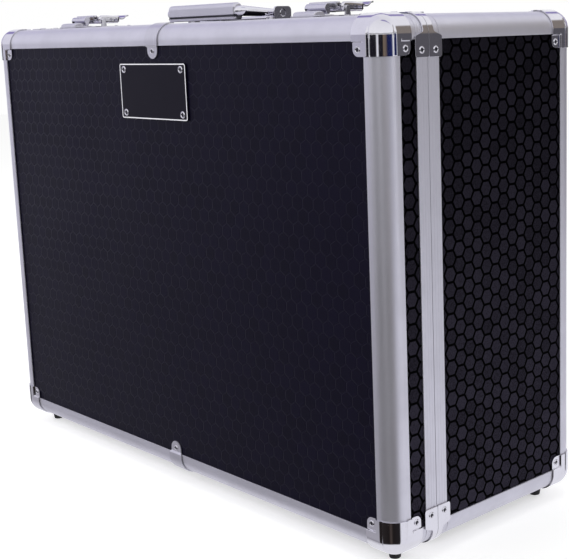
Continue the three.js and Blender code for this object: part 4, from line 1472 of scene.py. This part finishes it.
LEVER_WINDOW_HEIGHT = 2.2 * mm

CLAW_PIVOT_BACK = 10 * mm
CLAW_PIVOT_RISE = 0.9 * mm
CLAW_HALF_WIDTH = 13 * mm
CLAW_PIN = 1.2 * mm
CLAW_BARREL = 2.6 * mm
CLAW_BEND = 0.6 * mm
CLAW_EDGE = 0.4 * mm
CLAW_ARM_TOP = 2.4 * mm
CLAW_ARM_BOTTOM = -0.8 * mm
CLAW_HEAD_TOP = 3.3 * mm
CLAW_HEAD_START = 19.5 * mm
CLAW_REACH = 30 * mm
CLAW_NOSE_BACK = 24.7 * mm
CLAW_NOSE = 3 * mm
CLAW_NOSE_DROP = 5.8 * mm
CLAW_SHOULDER_TOP = 4.6 * mm
CLAW_SHOULDER_BACK = 16.4 * mm
CLAW_SHOULDER_FRONT = 21 * mm
CLAW_SHOULDER_BEND = 0.8 * mm
CLAW_SHOULDER_EDGE = 1.6 * mm
CLAW_SLOT = (2.6 * mm, 5.5 * mm, 2.5 * mm)
CLAW_SLOT_SIDE = 6.5 * mm
CLAW_SLOT_BACK = 9.5 * mm
CLAW_SLOT_DEPTH = 0.7 * mm
CLAW_SLOT_RIM = 0.2 * mm

STRIKER_PLATE = 1.2 * mm
STRIKER_BUMP_LENGTH = 12.5 * mm
STRIKER_BUMP_HALF_WIDTH = 14 * mm
STRIKER_BUMP_RIM = 1.2 * mm
STRIKER_LIP_BACK = 5.5 * mm
STRIKER_LIP_LENGTH = 2 * mm
STRIKER_LIP_HEIGHT = 2 * mm
STRIKER_RIVET_SIZE = 0.7


def lever_half_width(side):
    low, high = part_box(f"latch_lever_{side}")
    return (high.x - low.x) / 2


def latch_plate(side, pivot):
    low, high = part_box(f"latch_plate_{side}")
    half = (high.x - low.x) / 2
    foot = TOP_Z + GAP
    top = foot + LATCH_PLATE
    outline = rounded(rectangle(-half, half, low.y, high.y), LATCH_CORNER, 5)
    parts = [prism(outline, foot, top, "xyz", LATCH_PLATE_RIM)]
    inner = lever_half_width(side) + GAP
    outer = inner + EAR_THICKNESS
    ear = [(pivot.y + EAR_FOOT, foot)]
    ear += arc(pivot.y, pivot.z, EAR_ROUND, 0, math.pi, 14)
    ear += [(pivot.y - EAR_FOOT, foot)]
    for sign in (-1, 1):
        parts.append(prism(ear, *sorted((sign * inner, sign * outer)), "yzx"))
        pin = sorted((sign * (inner - GAP - EAR_THICKNESS), sign * outer))
        parts.append(pin_mesh(EAR_PIN, *pin, pivot.y, pivot.z))
    mesh = moved(united(*parts), pivot.x, 0, 0)
    piece(f"latch_base_{side}", mesh, chrome, "base", [f"latch_plate_{side}"])
    for sign in (-1, 1):
        for back in LATCH_RIVETS_BACK:
            place = (pivot.x + sign * (half - LATCH_RIVET_SIDE), high.y - back, top)
            add_dome("base", place, (0, 0, 1), LATCH_RIVET_SIZE)


def lever_tab(half):
    """Curled tab behind a lever's body: it dips for the thumb and rises to its tip."""
    top = []
    for share in spread(0.0, 1.0, 12):
        dip = LEVER_TAB_DIP * math.sin(math.pi * min(share * LEVER_TAB_DIP_RATE, 1.0))
        climb = smooth_step(share * LEVER_TAB_RISE_RATE - LEVER_TAB_RISE_DELAY)
        rise = (LEVER_HEIGHT - LEVER_REAR_HEIGHT) * climb
        y = LEVER_TAB_START + (LEVER_TAB_END - LEVER_TAB_START) * share
        top.append((y, LEVER_REAR_HEIGHT - dip + rise))
    outline = top + [(y, z - LEVER_SHEET) for y, z in reversed(top)]
    return prism(outline, LEVER_TAB_INSET - half, half - LEVER_TAB_INSET, "yzx", LEVER_TAB_RIM)


def latch_lever(side, pivot):
    """Thumb lever pressed from sheet: a hollow body, rounded and open in front, and its tab."""
    half = lever_half_width(side)
    inner = half - EAR_THICKNESS
    radius = (LEVER_HEIGHT + LEVER_FLOOR) / 2
    outline = [(LEVER_BODY_END, LEVER_REAR_HEIGHT), (LEVER_SHOULDER, LEVER_HEIGHT)]
    centre = (radius - LEVER_NOSE, LEVER_HEIGHT - radius)
    outline += arc(*centre, radius, math.pi / 2, math.pi * 1.5, 16)
    outline.append((LEVER_BODY_END - LEVER_HEEL, -LEVER_FLOOR))
    outline.append((LEVER_BODY_END, -LEVER_FLOOR + LEVER_HEEL))
    body = prism(rounded(outline, LEVER_BEND), -half, half, "yzx", LEVER_EDGE)
    tall = 2 * LEVER_HEIGHT
    front = box((-inner, -2 * LEVER_NOSE, -tall), (inner, LEVER_DECK_START, tall), CUTTER_RIM)
    rear = (inner, LEVER_BODY_END - EAR_THICKNESS, LEVER_REAR_HEIGHT - LEVER_SHEET)
    under = box((-inner, LEVER_CUT_START, -tall), rear, CUTTER_RIM)
    mesh = united(carved(body, front, under), lever_tab(half))
    window_round = LEVER_WINDOW_HEIGHT / 2
    window = rounded_rectangle(LEVER_WINDOW_LENGTH / 2, window_round, window_round)
    holes = [
        pin_mesh(LEVER_PIVOT_HOLE, -2 * half, 2 * half, 0, 0),
        pin_mesh(LEVER_CLAW_HOLE, -2 * half, 2 * half, CLAW_PIVOT_BACK, CLAW_PIVOT_RISE),
        moved(prism(window, -2 * half, 2 * half, "yzx"), 0, LEVER_WINDOW_BACK, LEVER_WINDOW_RISE),
    ]
    mesh = moved(carved(mesh, *holes), *pivot)
    node = f"latch_lever_{side}"
    piece(f"latch_thumb_lever_{side}", mesh, chrome, f"lever_{side}", [node])


def latch_claw(side, pivot):
    half = CLAW_HALF_WIDTH
    head = CLAW_HEAD_TOP - CLAW_ARM_BOTTOM
    outline = [
        (0.0, CLAW_ARM_TOP),
        (-CLAW_HEAD_START + CLAW_HEAD_TOP - CLAW_ARM_TOP, CLAW_ARM_TOP),
        (-CLAW_HEAD_START, CLAW_HEAD_TOP),
        *arc(head - CLAW_REACH, CLAW_ARM_BOTTOM, head, math.pi / 2, math.pi, 8),
        (-CLAW_NOSE_BACK - CLAW_NOSE, -CLAW_NOSE_DROP),
        (-CLAW_NOSE_BACK, -CLAW_NOSE_DROP),
        (-CLAW_NOSE_BACK + CLAW_NOSE / 2, CLAW_ARM_BOTTOM),
        (0.0, CLAW_ARM_BOTTOM),
    ]
    body = prism(rounded(outline, CLAW_BEND), -half, half, "yzx", CLAW_EDGE)
    barrel = pin_mesh(CLAW_BARREL, -half, half, 0, 0)
    wide = lever_half_width(side)
    pin = pin_mesh(CLAW_PIN, GAP - wide, wide - GAP, 0, 0)
    outline = [
        (-CLAW_SHOULDER_BACK, CLAW_ARM_BOTTOM),
        (-CLAW_SHOULDER_BACK, CLAW_SHOULDER_TOP),
        (-CLAW_SHOULDER_FRONT, CLAW_SHOULDER_TOP),
        (-CLAW_SHOULDER_FRONT, CLAW_ARM_BOTTOM),
    ]
    shoulder = prism(rounded(outline, CLAW_SHOULDER_BEND), -wide, wide, "yzx", CLAW_SHOULDER_EDGE)
    slots = []
    slot_floor = CLAW_ARM_TOP - CLAW_SLOT_DEPTH
    outline = rounded_rectangle(*CLAW_SLOT)
    for sign in (-1, 1):
        slot = prism(outline, slot_floor, CLAW_HEAD_TOP + CUTTER_RIM, "xyz", CLAW_SLOT_RIM)
        slots.append(moved(slot, sign * CLAW_SLOT_SIDE, -CLAW_SLOT_BACK, 0))
    mesh = carved(united(body, barrel, pin, shoulder), *slots)
    moved(mesh, pivot.x, pivot.y + CLAW_PIVOT_BACK, pivot.z + CLAW_PIVOT_RISE)
    node = f"latch_claw_{side}"
    piece(f"latch_hook_{side}", mesh, bright_nickel, f"claw_{side}", [node])


def latch_striker(side, pivot):
    low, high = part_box(f"striker_{side}")
    half = (high.x - low.x) / 2
    wide = STRIKER_BUMP_HALF_WIDTH
    top = low.z + STRIKER_PLATE
    outline = rounded(rectangle(-half, half, low.y, high.y), LATCH_CORNER, 5)
    plate = prism(outline, low.z, top, "xyz", LATCH_PLATE_RIM)
    centre = low.y + STRIKER_BUMP_LENGTH / 2
    rise = high.z - low.z
    bump = []
    for along, up in arc(0, 0, 1, 0, math.pi, 18):
        level = low.z + rise * math.sqrt(max(up, 0.0))
        bump.append((centre + STRIKER_BUMP_LENGTH / 2 * along, level))
    bump = prism(bump, -wide, wide, "yzx", STRIKER_BUMP_RIM)
    end = PARTING_Y - STRIKER_LIP_BACK
    lip = box((-wide, end - STRIKER_LIP_LENGTH, low.z), (wide, end, TOP_Z + STRIKER_LIP_HEIGHT))
    mesh = moved(united(plate, bump, lip), pivot.x, 0, 0)
    piece(f"latch_striker_{side}", mesh, satin, "lid", [f"striker_{side}"])
    for sign in (-1, 1):
        place = (pivot.x + sign * (half - LATCH_RIVET_SIDE), (low.y + high.y) / 2, top)
        add_dome("lid", place, (0, 0, 1), STRIKER_RIVET_SIZE)


def make_latches():
    for side, _ in SIDES:
        pivot = joint_place(f"latch_lever_{side}")
        for make_part in (latch_plate, latch_lever, latch_claw, latch_striker):
            make_part(side, pivot)


# Handle: plate with two ears, a bent rod and a satin grip with a groove along its foot, the groove
# painted dark as shade

HANDLE_PLATE = 1.5 * mm
HANDLE_RIM = 0.3 * mm
HANDLE_RIVET_SIDE = 14 * mm
HANDLE_RIVET_SHARE = 0.62
HANDLE_BOSS_MARGIN = 6.5 * mm
HANDLE_BOSS_WIDTH = 16 * mm
HANDLE_BOSS_HEIGHT = 6.3 * mm
HANDLE_BOSS_CORNER = 3 * mm
HANDLE_BOSS_RIM = 2.2 * mm
HANDLE_EAR_HALF_LENGTH = 10.5 * mm
HANDLE_EAR_CORNER = 4 * mm
HANDLE_EAR_RISE = 6.1 * mm
HANDLE_EAR = 2 * mm
HANDLE_ARM_X = 61.5 * mm
HANDLE_NECK_X = 56.5 * mm
HANDLE_ROD = 3.5 * mm
HANDLE_ROD_SIDES = 24
HANDLE_ROD_END = 0.6 * mm
HANDLE_SWELL = 1.4 * mm
HANDLE_BEND = 6 * mm
HANDLE_BEND_STEPS = 8
HANDLE_REACH = 40.6 * mm
GRIP_RISE = 2.6 * mm
GRIP_HALF_LENGTH = 53.7 * mm
GRIP_WIDTH = 10.4 * mm
GRIP_HEIGHT = 15.7 * mm
GRIP_CORNER = 4.5 * mm
GRIP_FOOT = 1.6 * mm
GRIP_END_ROUND = 2.6 * mm
GROOVE_WIDTH = 2.4 * mm
GROOVE_CUT = 1.3 * mm
GROOVE_RISE = 3.6 * mm
GROOVE_FACE_LIMIT = 0.9


def handle_plate(pivot):
    low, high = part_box("handle_plate")
    half_x = (high.x - low.x) / 2
    half_y = (high.y - low.y) / 2
    top = low.z + HANDLE_PLATE
    plate = prism(rounded_rectangle(half_x, half_y, half_y / 2), low.z, top, "xyz", HANDLE_RIM)
    boss_x = HANDLE_ARM_X - HANDLE_BOSS_MARGIN
    boss = rounded_rectangle(boss_x, HANDLE_BOSS_WIDTH / 2, HANDLE_BOSS_CORNER)
    boss = prism(boss, low.z, low.z + HANDLE_BOSS_HEIGHT, "xyz", HANDLE_BOSS_RIM)
    parts = [moved(plate, 0, pivot.y, 0), moved(boss, 0, pivot.y, 0)]
    flat = HANDLE_EAR_HALF_LENGTH - HANDLE_EAR_CORNER
    shoulder = pivot.z + HANDLE_EAR_RISE - HANDLE_EAR_CORNER
    ear = [(pivot.y + HANDLE_EAR_HALF_LENGTH, low.z)]
    ear += arc(pivot.y + flat, shoulder, HANDLE_EAR_CORNER, 0, math.pi / 2, 8)
    ear += arc(pivot.y - flat, shoulder, HANDLE_EAR_CORNER, math.pi / 2, math.pi, 8)
    ear += [(pivot.y - HANDLE_EAR_HALF_LENGTH, low.z)]
    start = HANDLE_ARM_X + HANDLE_BEND + GAP
    for sign in (-1, 1):
        span = sorted((sign * start, sign * (start + HANDLE_EAR)))
        parts.append(prism(ear, *span, "yzx", HANDLE_RIM))
    hole = pin_mesh(HANDLE_ROD + GAP, -2 * half_x, 2 * half_x, pivot.y, pivot.z)
    mesh = carved(united(*parts), hole)
    piece("handle_base", mesh, chrome, "base", ["handle_plate"])
    for sign_x in (-1, 1):
        for sign_y in (-1, 1):
            y = pivot.y + sign_y * half_y * HANDLE_RIVET_SHARE
            add_dome("base", (sign_x * (half_x - HANDLE_RIVET_SIDE), y, top), (0, 0, 1))


def rounded_path(corners, radius, steps):
    points = [corners[0]]
    for before, here, after in zip(corners, corners[1:], corners[2:]):
        start = here + (before - here).normalized() * radius
        end = here + (after - here).normalized() * radius
        points += bend(start, here, end, steps)
    return points + [corners[-1]]


def rod_along(points, radii, sides, end_round):
    """Round rod along a path with a radius for each point, and slightly rounded ends."""
    last = len(points) - 1
    neighbours = zip(points[:1] + points[:-1], points[1:] + points[-1:])
    tangents = [(after - before).normalized() for before, after in neighbours]
    side = Vector((0.0, 0.0, 1.0)).cross(tangents[0]).normalized()
    angles = [2 * math.pi * k / sides for k in range(sides)]
    rings = []
    for index, (point, tangent, radius) in enumerate(zip(points, tangents, radii)):
        side = (side - tangent * side.dot(tangent)).normalized()
        up = tangent.cross(side)
        spots = [(point, radius)]
        if index == 0:
            spots = [(point, radius - end_round), (point + tangent * end_round, radius)]
        elif index == last:
            spots = [(point - tangent * end_round, radius), (point, radius - end_round)]
        for centre, size in spots:
            reach_side, reach_up = side * size, up * size
            ring = [centre + reach_side * math.cos(a) + reach_up * math.sin(a) for a in angles]
            rings.append(ring)
    return skin(rings)


def handle_bail(pivot):
    pin_end = HANDLE_ARM_X + HANDLE_BEND + GAP + HANDLE_EAR
    corners = [
        Vector((-pin_end, 0, 0)),
        Vector((-HANDLE_ARM_X, 0, 0)),
        Vector((-HANDLE_NECK_X, -HANDLE_REACH, GRIP_RISE)),
        Vector((HANDLE_NECK_X, -HANDLE_REACH, GRIP_RISE)),
        Vector((HANDLE_ARM_X, 0, 0)),
        Vector((pin_end, 0, 0)),
    ]
    path = rounded_path(corners, HANDLE_BEND, HANDLE_BEND_STEPS)
    middle = len(path) // 2
    reach = HANDLE_NECK_X - 2 * HANDLE_BEND
    path[middle:middle] = [Vector((sign * reach, -HANDLE_REACH, GRIP_RISE)) for sign in (-1, 1)]
    radii = [HANDLE_ROD + HANDLE_SWELL * smooth_step(-point.y / HANDLE_REACH) for point in path]
    radii[middle] = radii[middle + 1] = HANDLE_ROD
    mesh = moved(rod_along(path, radii, HANDLE_ROD_SIDES, HANDLE_ROD_END), *pivot)
    piece("handle_rod", mesh, chrome, "handle", ["handle_bail"])


def grip_section(share):
    """Section of the grip, drawn in by a share at its rounded ends, with a groove on both sides."""
    half_y = GRIP_WIDTH / 2
    half_z = GRIP_HEIGHT / 2
    corner = GRIP_CORNER
    floor = half_y - GROOVE_CUT
    groove = GROOVE_RISE - half_z
    half_groove = GROOVE_WIDTH / 2
    right = arc(half_y - GRIP_FOOT, GRIP_FOOT - half_z, GRIP_FOOT, -math.pi / 2, 0, 5)
    right += [(half_y, groove - half_groove), (floor, groove - half_groove / 2)]
    right += [(floor, groove + half_groove / 2), (half_y, groove + half_groove)]
    right += arc(half_y - corner, half_z - corner, corner, 0, math.pi / 2, 8)
    left = [(-y, z) for y, z in reversed(right)]
    return [(y * share, z * share) for y, z in right + left]


def handle_grip(pivot):
    ends = []
    for angle in spread(0.0, math.pi / 2, 6):
        along = GRIP_END_ROUND * (1 - math.cos(angle))
        drawn = GRIP_END_ROUND * (1 - math.sin(angle))
        ends.append((along - GRIP_HALF_LENGTH, drawn))
    rings = []
    for x, drawn in sorted(ends + [(-x, drawn) for x, drawn in ends]):
        section = grip_section(1 - drawn / (GRIP_HEIGHT / 2))
        rings.append([(x, y - HANDLE_REACH, z + GRIP_RISE) for y, z in section])
    past = 2 * GRIP_HALF_LENGTH
    bore = pin_mesh(HANDLE_ROD + GAP, -past, past, -HANDLE_REACH, GRIP_RISE)
    mesh = moved(carved(skin(rings), bore), *pivot)
    grip = piece("handle_grip_shell", mesh, satin, "handle", ["handle_grip"])
    # The groove's walls get the dark hollow material: painted shade in the groove
    grip.data.materials.append(hollow_shade)
    middle = pivot + Vector((0.0, -HANDLE_REACH, GRIP_RISE))
    for face in grip.data.polygons:
        across = abs(face.center.y - middle.y) < (GRIP_WIDTH - GROOVE_CUT / 2) / 2
        rise = face.center.z - middle.z + GRIP_HEIGHT / 2 - GROOVE_RISE
        if across and abs(rise) < GROOVE_WIDTH / 2 and abs(face.normal.z) < GROOVE_FACE_LIMIT:
            face.material_index = 1


def make_handle():
    pivot = joint_place("handle_swing")
    handle_plate(pivot)
    handle_bail(pivot)
    handle_grip(pivot)


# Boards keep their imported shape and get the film

def dress_boards():
    for shell in SHELLS:
        for part, material in (("panel", film_lit_as_face), ("wall", film_lit_as_walls)):
            node = frame["nodes"][f"{shell.name}_{part}"]
            node.data.materials.clear()
            node.data.materials.append(material)


# Camera

CAMERA_AZIMUTH = math.radians(46.7262)
CAMERA_ELEVATION = math.radians(10.3615)
CAMERA_ROLL = math.radians(-1.7592)
CAMERA_PLACE = (0.9545, -0.7590, 0.4382)
CAMERA_LENS = 75.329
CAMERA_SENSOR = 36
CAMERA_SHIFT = (-0.1327, -0.0518)
CAMERA_CLIP = (0.01, 100)
CAMERA_BACK = (math.sin(CAMERA_AZIMUTH), -math.cos(CAMERA_AZIMUTH), 0.0)
CAMERA_RIGHT = (math.cos(CAMERA_AZIMUTH), math.sin(CAMERA_AZIMUTH), 0.0)


def make_camera():
    data = bpy.data.cameras.new("camera")
    data.sensor_width = CAMERA_SENSOR
    data.lens = CAMERA_LENS
    data.shift_x, data.shift_y = CAMERA_SHIFT
    data.clip_start, data.clip_end = CAMERA_CLIP
    camera = linked(data, "camera")
    level = math.cos(CAMERA_ELEVATION)
    back_x, back_y, _ = CAMERA_BACK
    forward = Vector((-back_x * level, -back_y * level, -math.sin(CAMERA_ELEVATION)))
    right = Vector(CAMERA_RIGHT)
    up = right.cross(forward)
    rolled_right = right * math.cos(CAMERA_ROLL) + up * math.sin(CAMERA_ROLL)
    rolled_up = up * math.cos(CAMERA_ROLL) - right * math.sin(CAMERA_ROLL)
    turn = Matrix((rolled_right, rolled_up, -forward)).transposed()
    camera.matrix_world = Matrix.Translation(CAMERA_PLACE) @ turn.to_4x4()
    bpy.context.scene.camera = camera


# Room that metal mirrors. Turns are in degrees, from behind the case over its left to its right

WHITE = (1.0, 1.0, 1.0)
PALE = (0.9, 0.9, 0.95)
DARK_GAP = (0.04, 0.04, 0.05)
DARK_ROOM = (0.012, 0.011, 0.016)
RIGHT_WALL = (0.10, 0.097, 0.112)
TABLE_PALE = (0.86, 0.86, 0.93)
TABLE_GREY = (0.42, 0.41, 0.46)
TABLE_DARK = (0.015, 0.012, 0.012)
ROOM_TURNS = (
    (0.0, WHITE),
    (25.0, (0.9, 0.9, 0.97)),
    (50.0, (0.68, 0.67, 0.78)),
    (70.0, (0.6, 0.59, 0.7)),
    (88.0, (0.46, 0.45, 0.54)),
    (91.0, (0.42, 0.41, 0.48)),
    (94.0, DARK_GAP),
    (100.0, DARK_GAP),
    (104.0, (0.85, 0.85, 0.9)),
    (113.0, (0.85, 0.85, 0.9)),
    (118.0, DARK_ROOM),
    (150.0, DARK_ROOM),
    (155.0, (0.8, 0.8, 0.85)),
    (161.0, (0.8, 0.8, 0.85)),
    (165.0, DARK_ROOM),
    (184.0, DARK_ROOM),
    (190.0, (0.2, 0.15, 0.11)),
    (202.0, (0.13, 0.10, 0.09)),
    (210.0, (0.008, 0.012, 0.06)),
    (234.0, (0.012, 0.02, 0.11)),
    (241.0, PALE),
    (253.0, PALE),
    (258.0, RIGHT_WALL),
    (318.0, RIGHT_WALL),
    (343.0, (0.9, 0.9, 0.92)),
    (360.0, WHITE),
)
TABLE_TURNS = (
    (0.0, PALE),
    (60.0, (0.6, 0.59, 0.66)),
    (72.0, (0.4, 0.39, 0.44)),
    (79.0, (0.3, 0.29, 0.33)),
    (83.0, TABLE_GREY),
    (88.5, TABLE_GREY),
    (91.0, (0.03, 0.026, 0.026)),
    (150.0, TABLE_DARK),
    (160.0, (0.07, 0.055, 0.05)),
    (172.0, TABLE_DARK),
    (210.0, (0.02, 0.018, 0.02)),
    (216.0, TABLE_PALE),
    (340.0, TABLE_PALE),
    (360.0, PALE),
)

# By the height of a direction, from 0 at the level to 1 straight up
ROOM_HEIGHTS = (
    (0.0, WHITE),
    (0.10, WHITE),
    (0.12, (0.1, 0.1, 0.13)),
    (0.15, (0.1, 0.1, 0.13)),
    (0.18, (0.97, 0.97, 1.0)),
    (0.8, PALE),
    (1.0, (0.85, 0.85, 0.9)),
)
FULL_TURN = 360.0
ROOM_TOP = (0.05, 0.09)
TABLE_EDGE = (-0.22, -0.12)
TABLE_FOOT = (-0.75, -0.6)
TABLE_WHITE = (0.85, 0.85, 0.9, 1.0)

# What only smooth metal shows above the walls: low end, high end and softness
LEFT_TURNS = (math.radians(-165), math.radians(-78), 0.2)
LEFT_COLOUR = (0.8, 0.79, 0.9, 1.0)
WINDOW_RING = (-0.8, -0.66, 0.03)
WINDOW_COLOUR = (0.28, 0.24, 0.5, 1.0)
RING = (0.1, 0.24, 0.03)
RING_TURNS = (math.radians(5), math.radians(70), 0.05)
STAND_TURNS = (math.radians(80), math.radians(128), 0.06)
STAND_HEIGHTS = (0.0, 0.5, 0.04)
STAND_COLOUR = (0.24, 0.21, 0.19, 1.0)


def between(graph, value, span):
    """Mask of the values in a span with soft ends."""
    low, high, soft = span
    rise = graph.ramp(value, low - soft, low + soft)
    fall = graph.ramp(value, high - soft, high + soft, 1.0, 0.0)
    return graph.math("MULTIPLY", rise, fall)


def colour_ramp(graph, value, stops, full):
    node = graph.node("ShaderNodeValToRGB", {0: value})
    ramp = node.color_ramp
    ramp.elements.remove(ramp.elements[-1])
    for index, (place, colour) in enumerate(stops):
        element = ramp.elements[0] if index == 0 else ramp.elements.new(place / full)
        element.position = place / full
        element.color = (*colour, 1.0)
    return node.outputs[0]


def make_studio():
    """What metal sees in a direction: white walls, and the dark side behind the camera."""
    graph, given, result = shader_group("studio", [("Vector", VECTOR)], [("Color", COLOUR)])
    way = graph.vector("NORMALIZE", given["Vector"])
    ahead = graph.measure("DOT_PRODUCT", way, CAMERA_BACK)
    turn = graph.math("ARCTAN2", graph.measure("DOT_PRODUCT", way, CAMERA_RIGHT), ahead)
    share = graph.ramp(turn, -math.pi, math.pi, smooth=False)
    height = graph.parts(way)[2]
    sky = colour_ramp(graph, graph.ramp(height, 0.0, 1.0, smooth=False), ROOM_HEIGHTS, 1.0)
    sky = graph.blend(between(graph, turn, LEFT_TURNS), sky, LEFT_COLOUR)
    sky = graph.blend(between(graph, ahead, WINDOW_RING), sky, WINDOW_COLOUR)
    ring = graph.math("MULTIPLY", between(graph, turn, RING_TURNS), between(graph, ahead, RING))
    sky = graph.blend(ring, sky, WINDOW_COLOUR)
    stand = between(graph, turn, STAND_TURNS), between(graph, height, STAND_HEIGHTS)
    stand = graph.math("MULTIPLY", *stand)
    sky = graph.blend(stand, sky, STAND_COLOUR)
    walls = colour_ramp(graph, share, ROOM_TURNS, FULL_TURN)
    table = colour_ramp(graph, share, TABLE_TURNS, FULL_TURN)
    colour = graph.blend(graph.ramp(height, *TABLE_EDGE), table, walls)
    colour = graph.blend(graph.ramp(height, *TABLE_FOOT), TABLE_WHITE, colour)
    colour = graph.blend(graph.ramp(height, *ROOM_TOP), colour, sky)
    graph.feed(result["Color"], colour)
    return graph.tree


# Stage and light

FLOOR_HALF = 6.0
FLOOR_COLOUR = (0.8, 0.8, 0.8, 1.0)
FLOOR_GLOW = 0.5
AMBIENT_COLOUR = (1.0, 1.0, 1.0, 1.0)
AMBIENT = 0.55

# Name, place, width, height and power of each lamp
SOFTBOXES = (
    ("softbox_top", (0.1, -0.2, 2.2), 1.8, 1.4, 12),
    ("softbox_left", (-1.6, -1.8, 1.2), 1.2, 1.6, 28),
    ("softbox_right", (2.2, 0.7, 1.3), 1.2, 1.6, 10),
)


def bare_graph(owner):
    owner.use_nodes = True
    owner.node_tree.nodes.clear()
    return Graph(owner.node_tree)


def ray_masks(graph):
    """Masks of the rays that see the background itself, and of those that metal mirrors."""
    path = graph.node("ShaderNodeLightPath").outputs
    seen = graph.math("MAXIMUM", path["Is Camera Ray"], path["Is Transmission Ray"])
    return seen, path["Is Glossy Ray"]


def make_floor():
    """White paper that shows from above only."""
    mesh = bpy.data.meshes.new("floor")
    corners = [(x, y, 0.0) for x, y in rectangle(-FLOOR_HALF, FLOOR_HALF, -FLOOR_HALF, FLOOR_HALF)]
    mesh.from_pydata(corners, [], [(0, 1, 2, 3)])
    material = bpy.data.materials.new("white paper")
    graph = bare_graph(material)
    seen, _ = ray_masks(graph)
    paper = graph.out("ShaderNodeBsdfDiffuse", {"Color": FLOOR_COLOUR})
    glow = graph.out("ShaderNodeEmission", {"Strength": graph.math("MULTIPLY", seen, FLOOR_GLOW)})
    paper = graph.out("ShaderNodeAddShader", {0: paper, 1: glow})
    below = graph.math("MULTIPLY", graph.node("ShaderNodeNewGeometry").outputs["Backfacing"], seen)
    clear = graph.out("ShaderNodeBsdfTransparent")
    shown = graph.out("ShaderNodeMixShader", {0: below, 1: paper, 2: clear})
    graph.node("ShaderNodeOutputMaterial", {"Surface": shown})
    mesh.materials.append(material)
    floor = linked(mesh, "floor")
    floor.visible_glossy = False
    floor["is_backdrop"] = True


def make_world(studio):
    """Even white light for the surfaces, and the room for what they mirror."""
    world = bpy.data.worlds.new("studio")
    bpy.context.scene.world = world
    graph = bare_graph(world)
    room = graph.node("ShaderNodeGroup")
    room.node_tree = studio
    graph.feed(room.inputs["Vector"], graph.node("ShaderNodeTexCoord").outputs["Generated"])
    seen, mirrored = ray_masks(graph)
    colour = graph.blend(mirrored, AMBIENT_COLOUR, room.outputs[0])
    seen = graph.math("MAXIMUM", seen, mirrored)
    strength = graph.ramp(seen, 0.0, 1.0, AMBIENT, 1.0, smooth=False)
    background = graph.out("ShaderNodeBackground", {"Color": colour, "Strength": strength})
    graph.node("ShaderNodeOutputWorld", {"Surface": background})


def make_lights():
    for name, place, width, height, power in SOFTBOXES:
        data = bpy.data.lights.new(name, "AREA")
        data.shape = "RECTANGLE"
        data.size = width
        data.size_y = height
        data.energy = power
        lamp = linked(data, name)
        lamp.visible_glossy = False
        turn = (Vector((0.0, 0.0, MIDDLE_Z)) - Vector(place)).to_track_quat("-Z", "Y")
        lamp.matrix_world = Matrix.Translation(place) @ turn.to_matrix().to_4x4()


bpy.context.scene.view_settings.view_transform = "Standard"
make_camera()
make_floor()
make_world(make_studio())
make_lights()
dress_boards()
for half in SHELLS:
    make_frames(half)
    make_corners(half)
collect_trim_rivets()
make_nameplate()
make_feet()
make_hinges()
make_foams()
make_latches()
make_handle()
make_rivets(rivet_tree(), rivet_points, "tubular_rivets", chrome)
make_rivets(dome_tree(), dome_points, "domed_rivets", satin)


def write_sizes(after):
    import json


write_sizes(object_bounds())
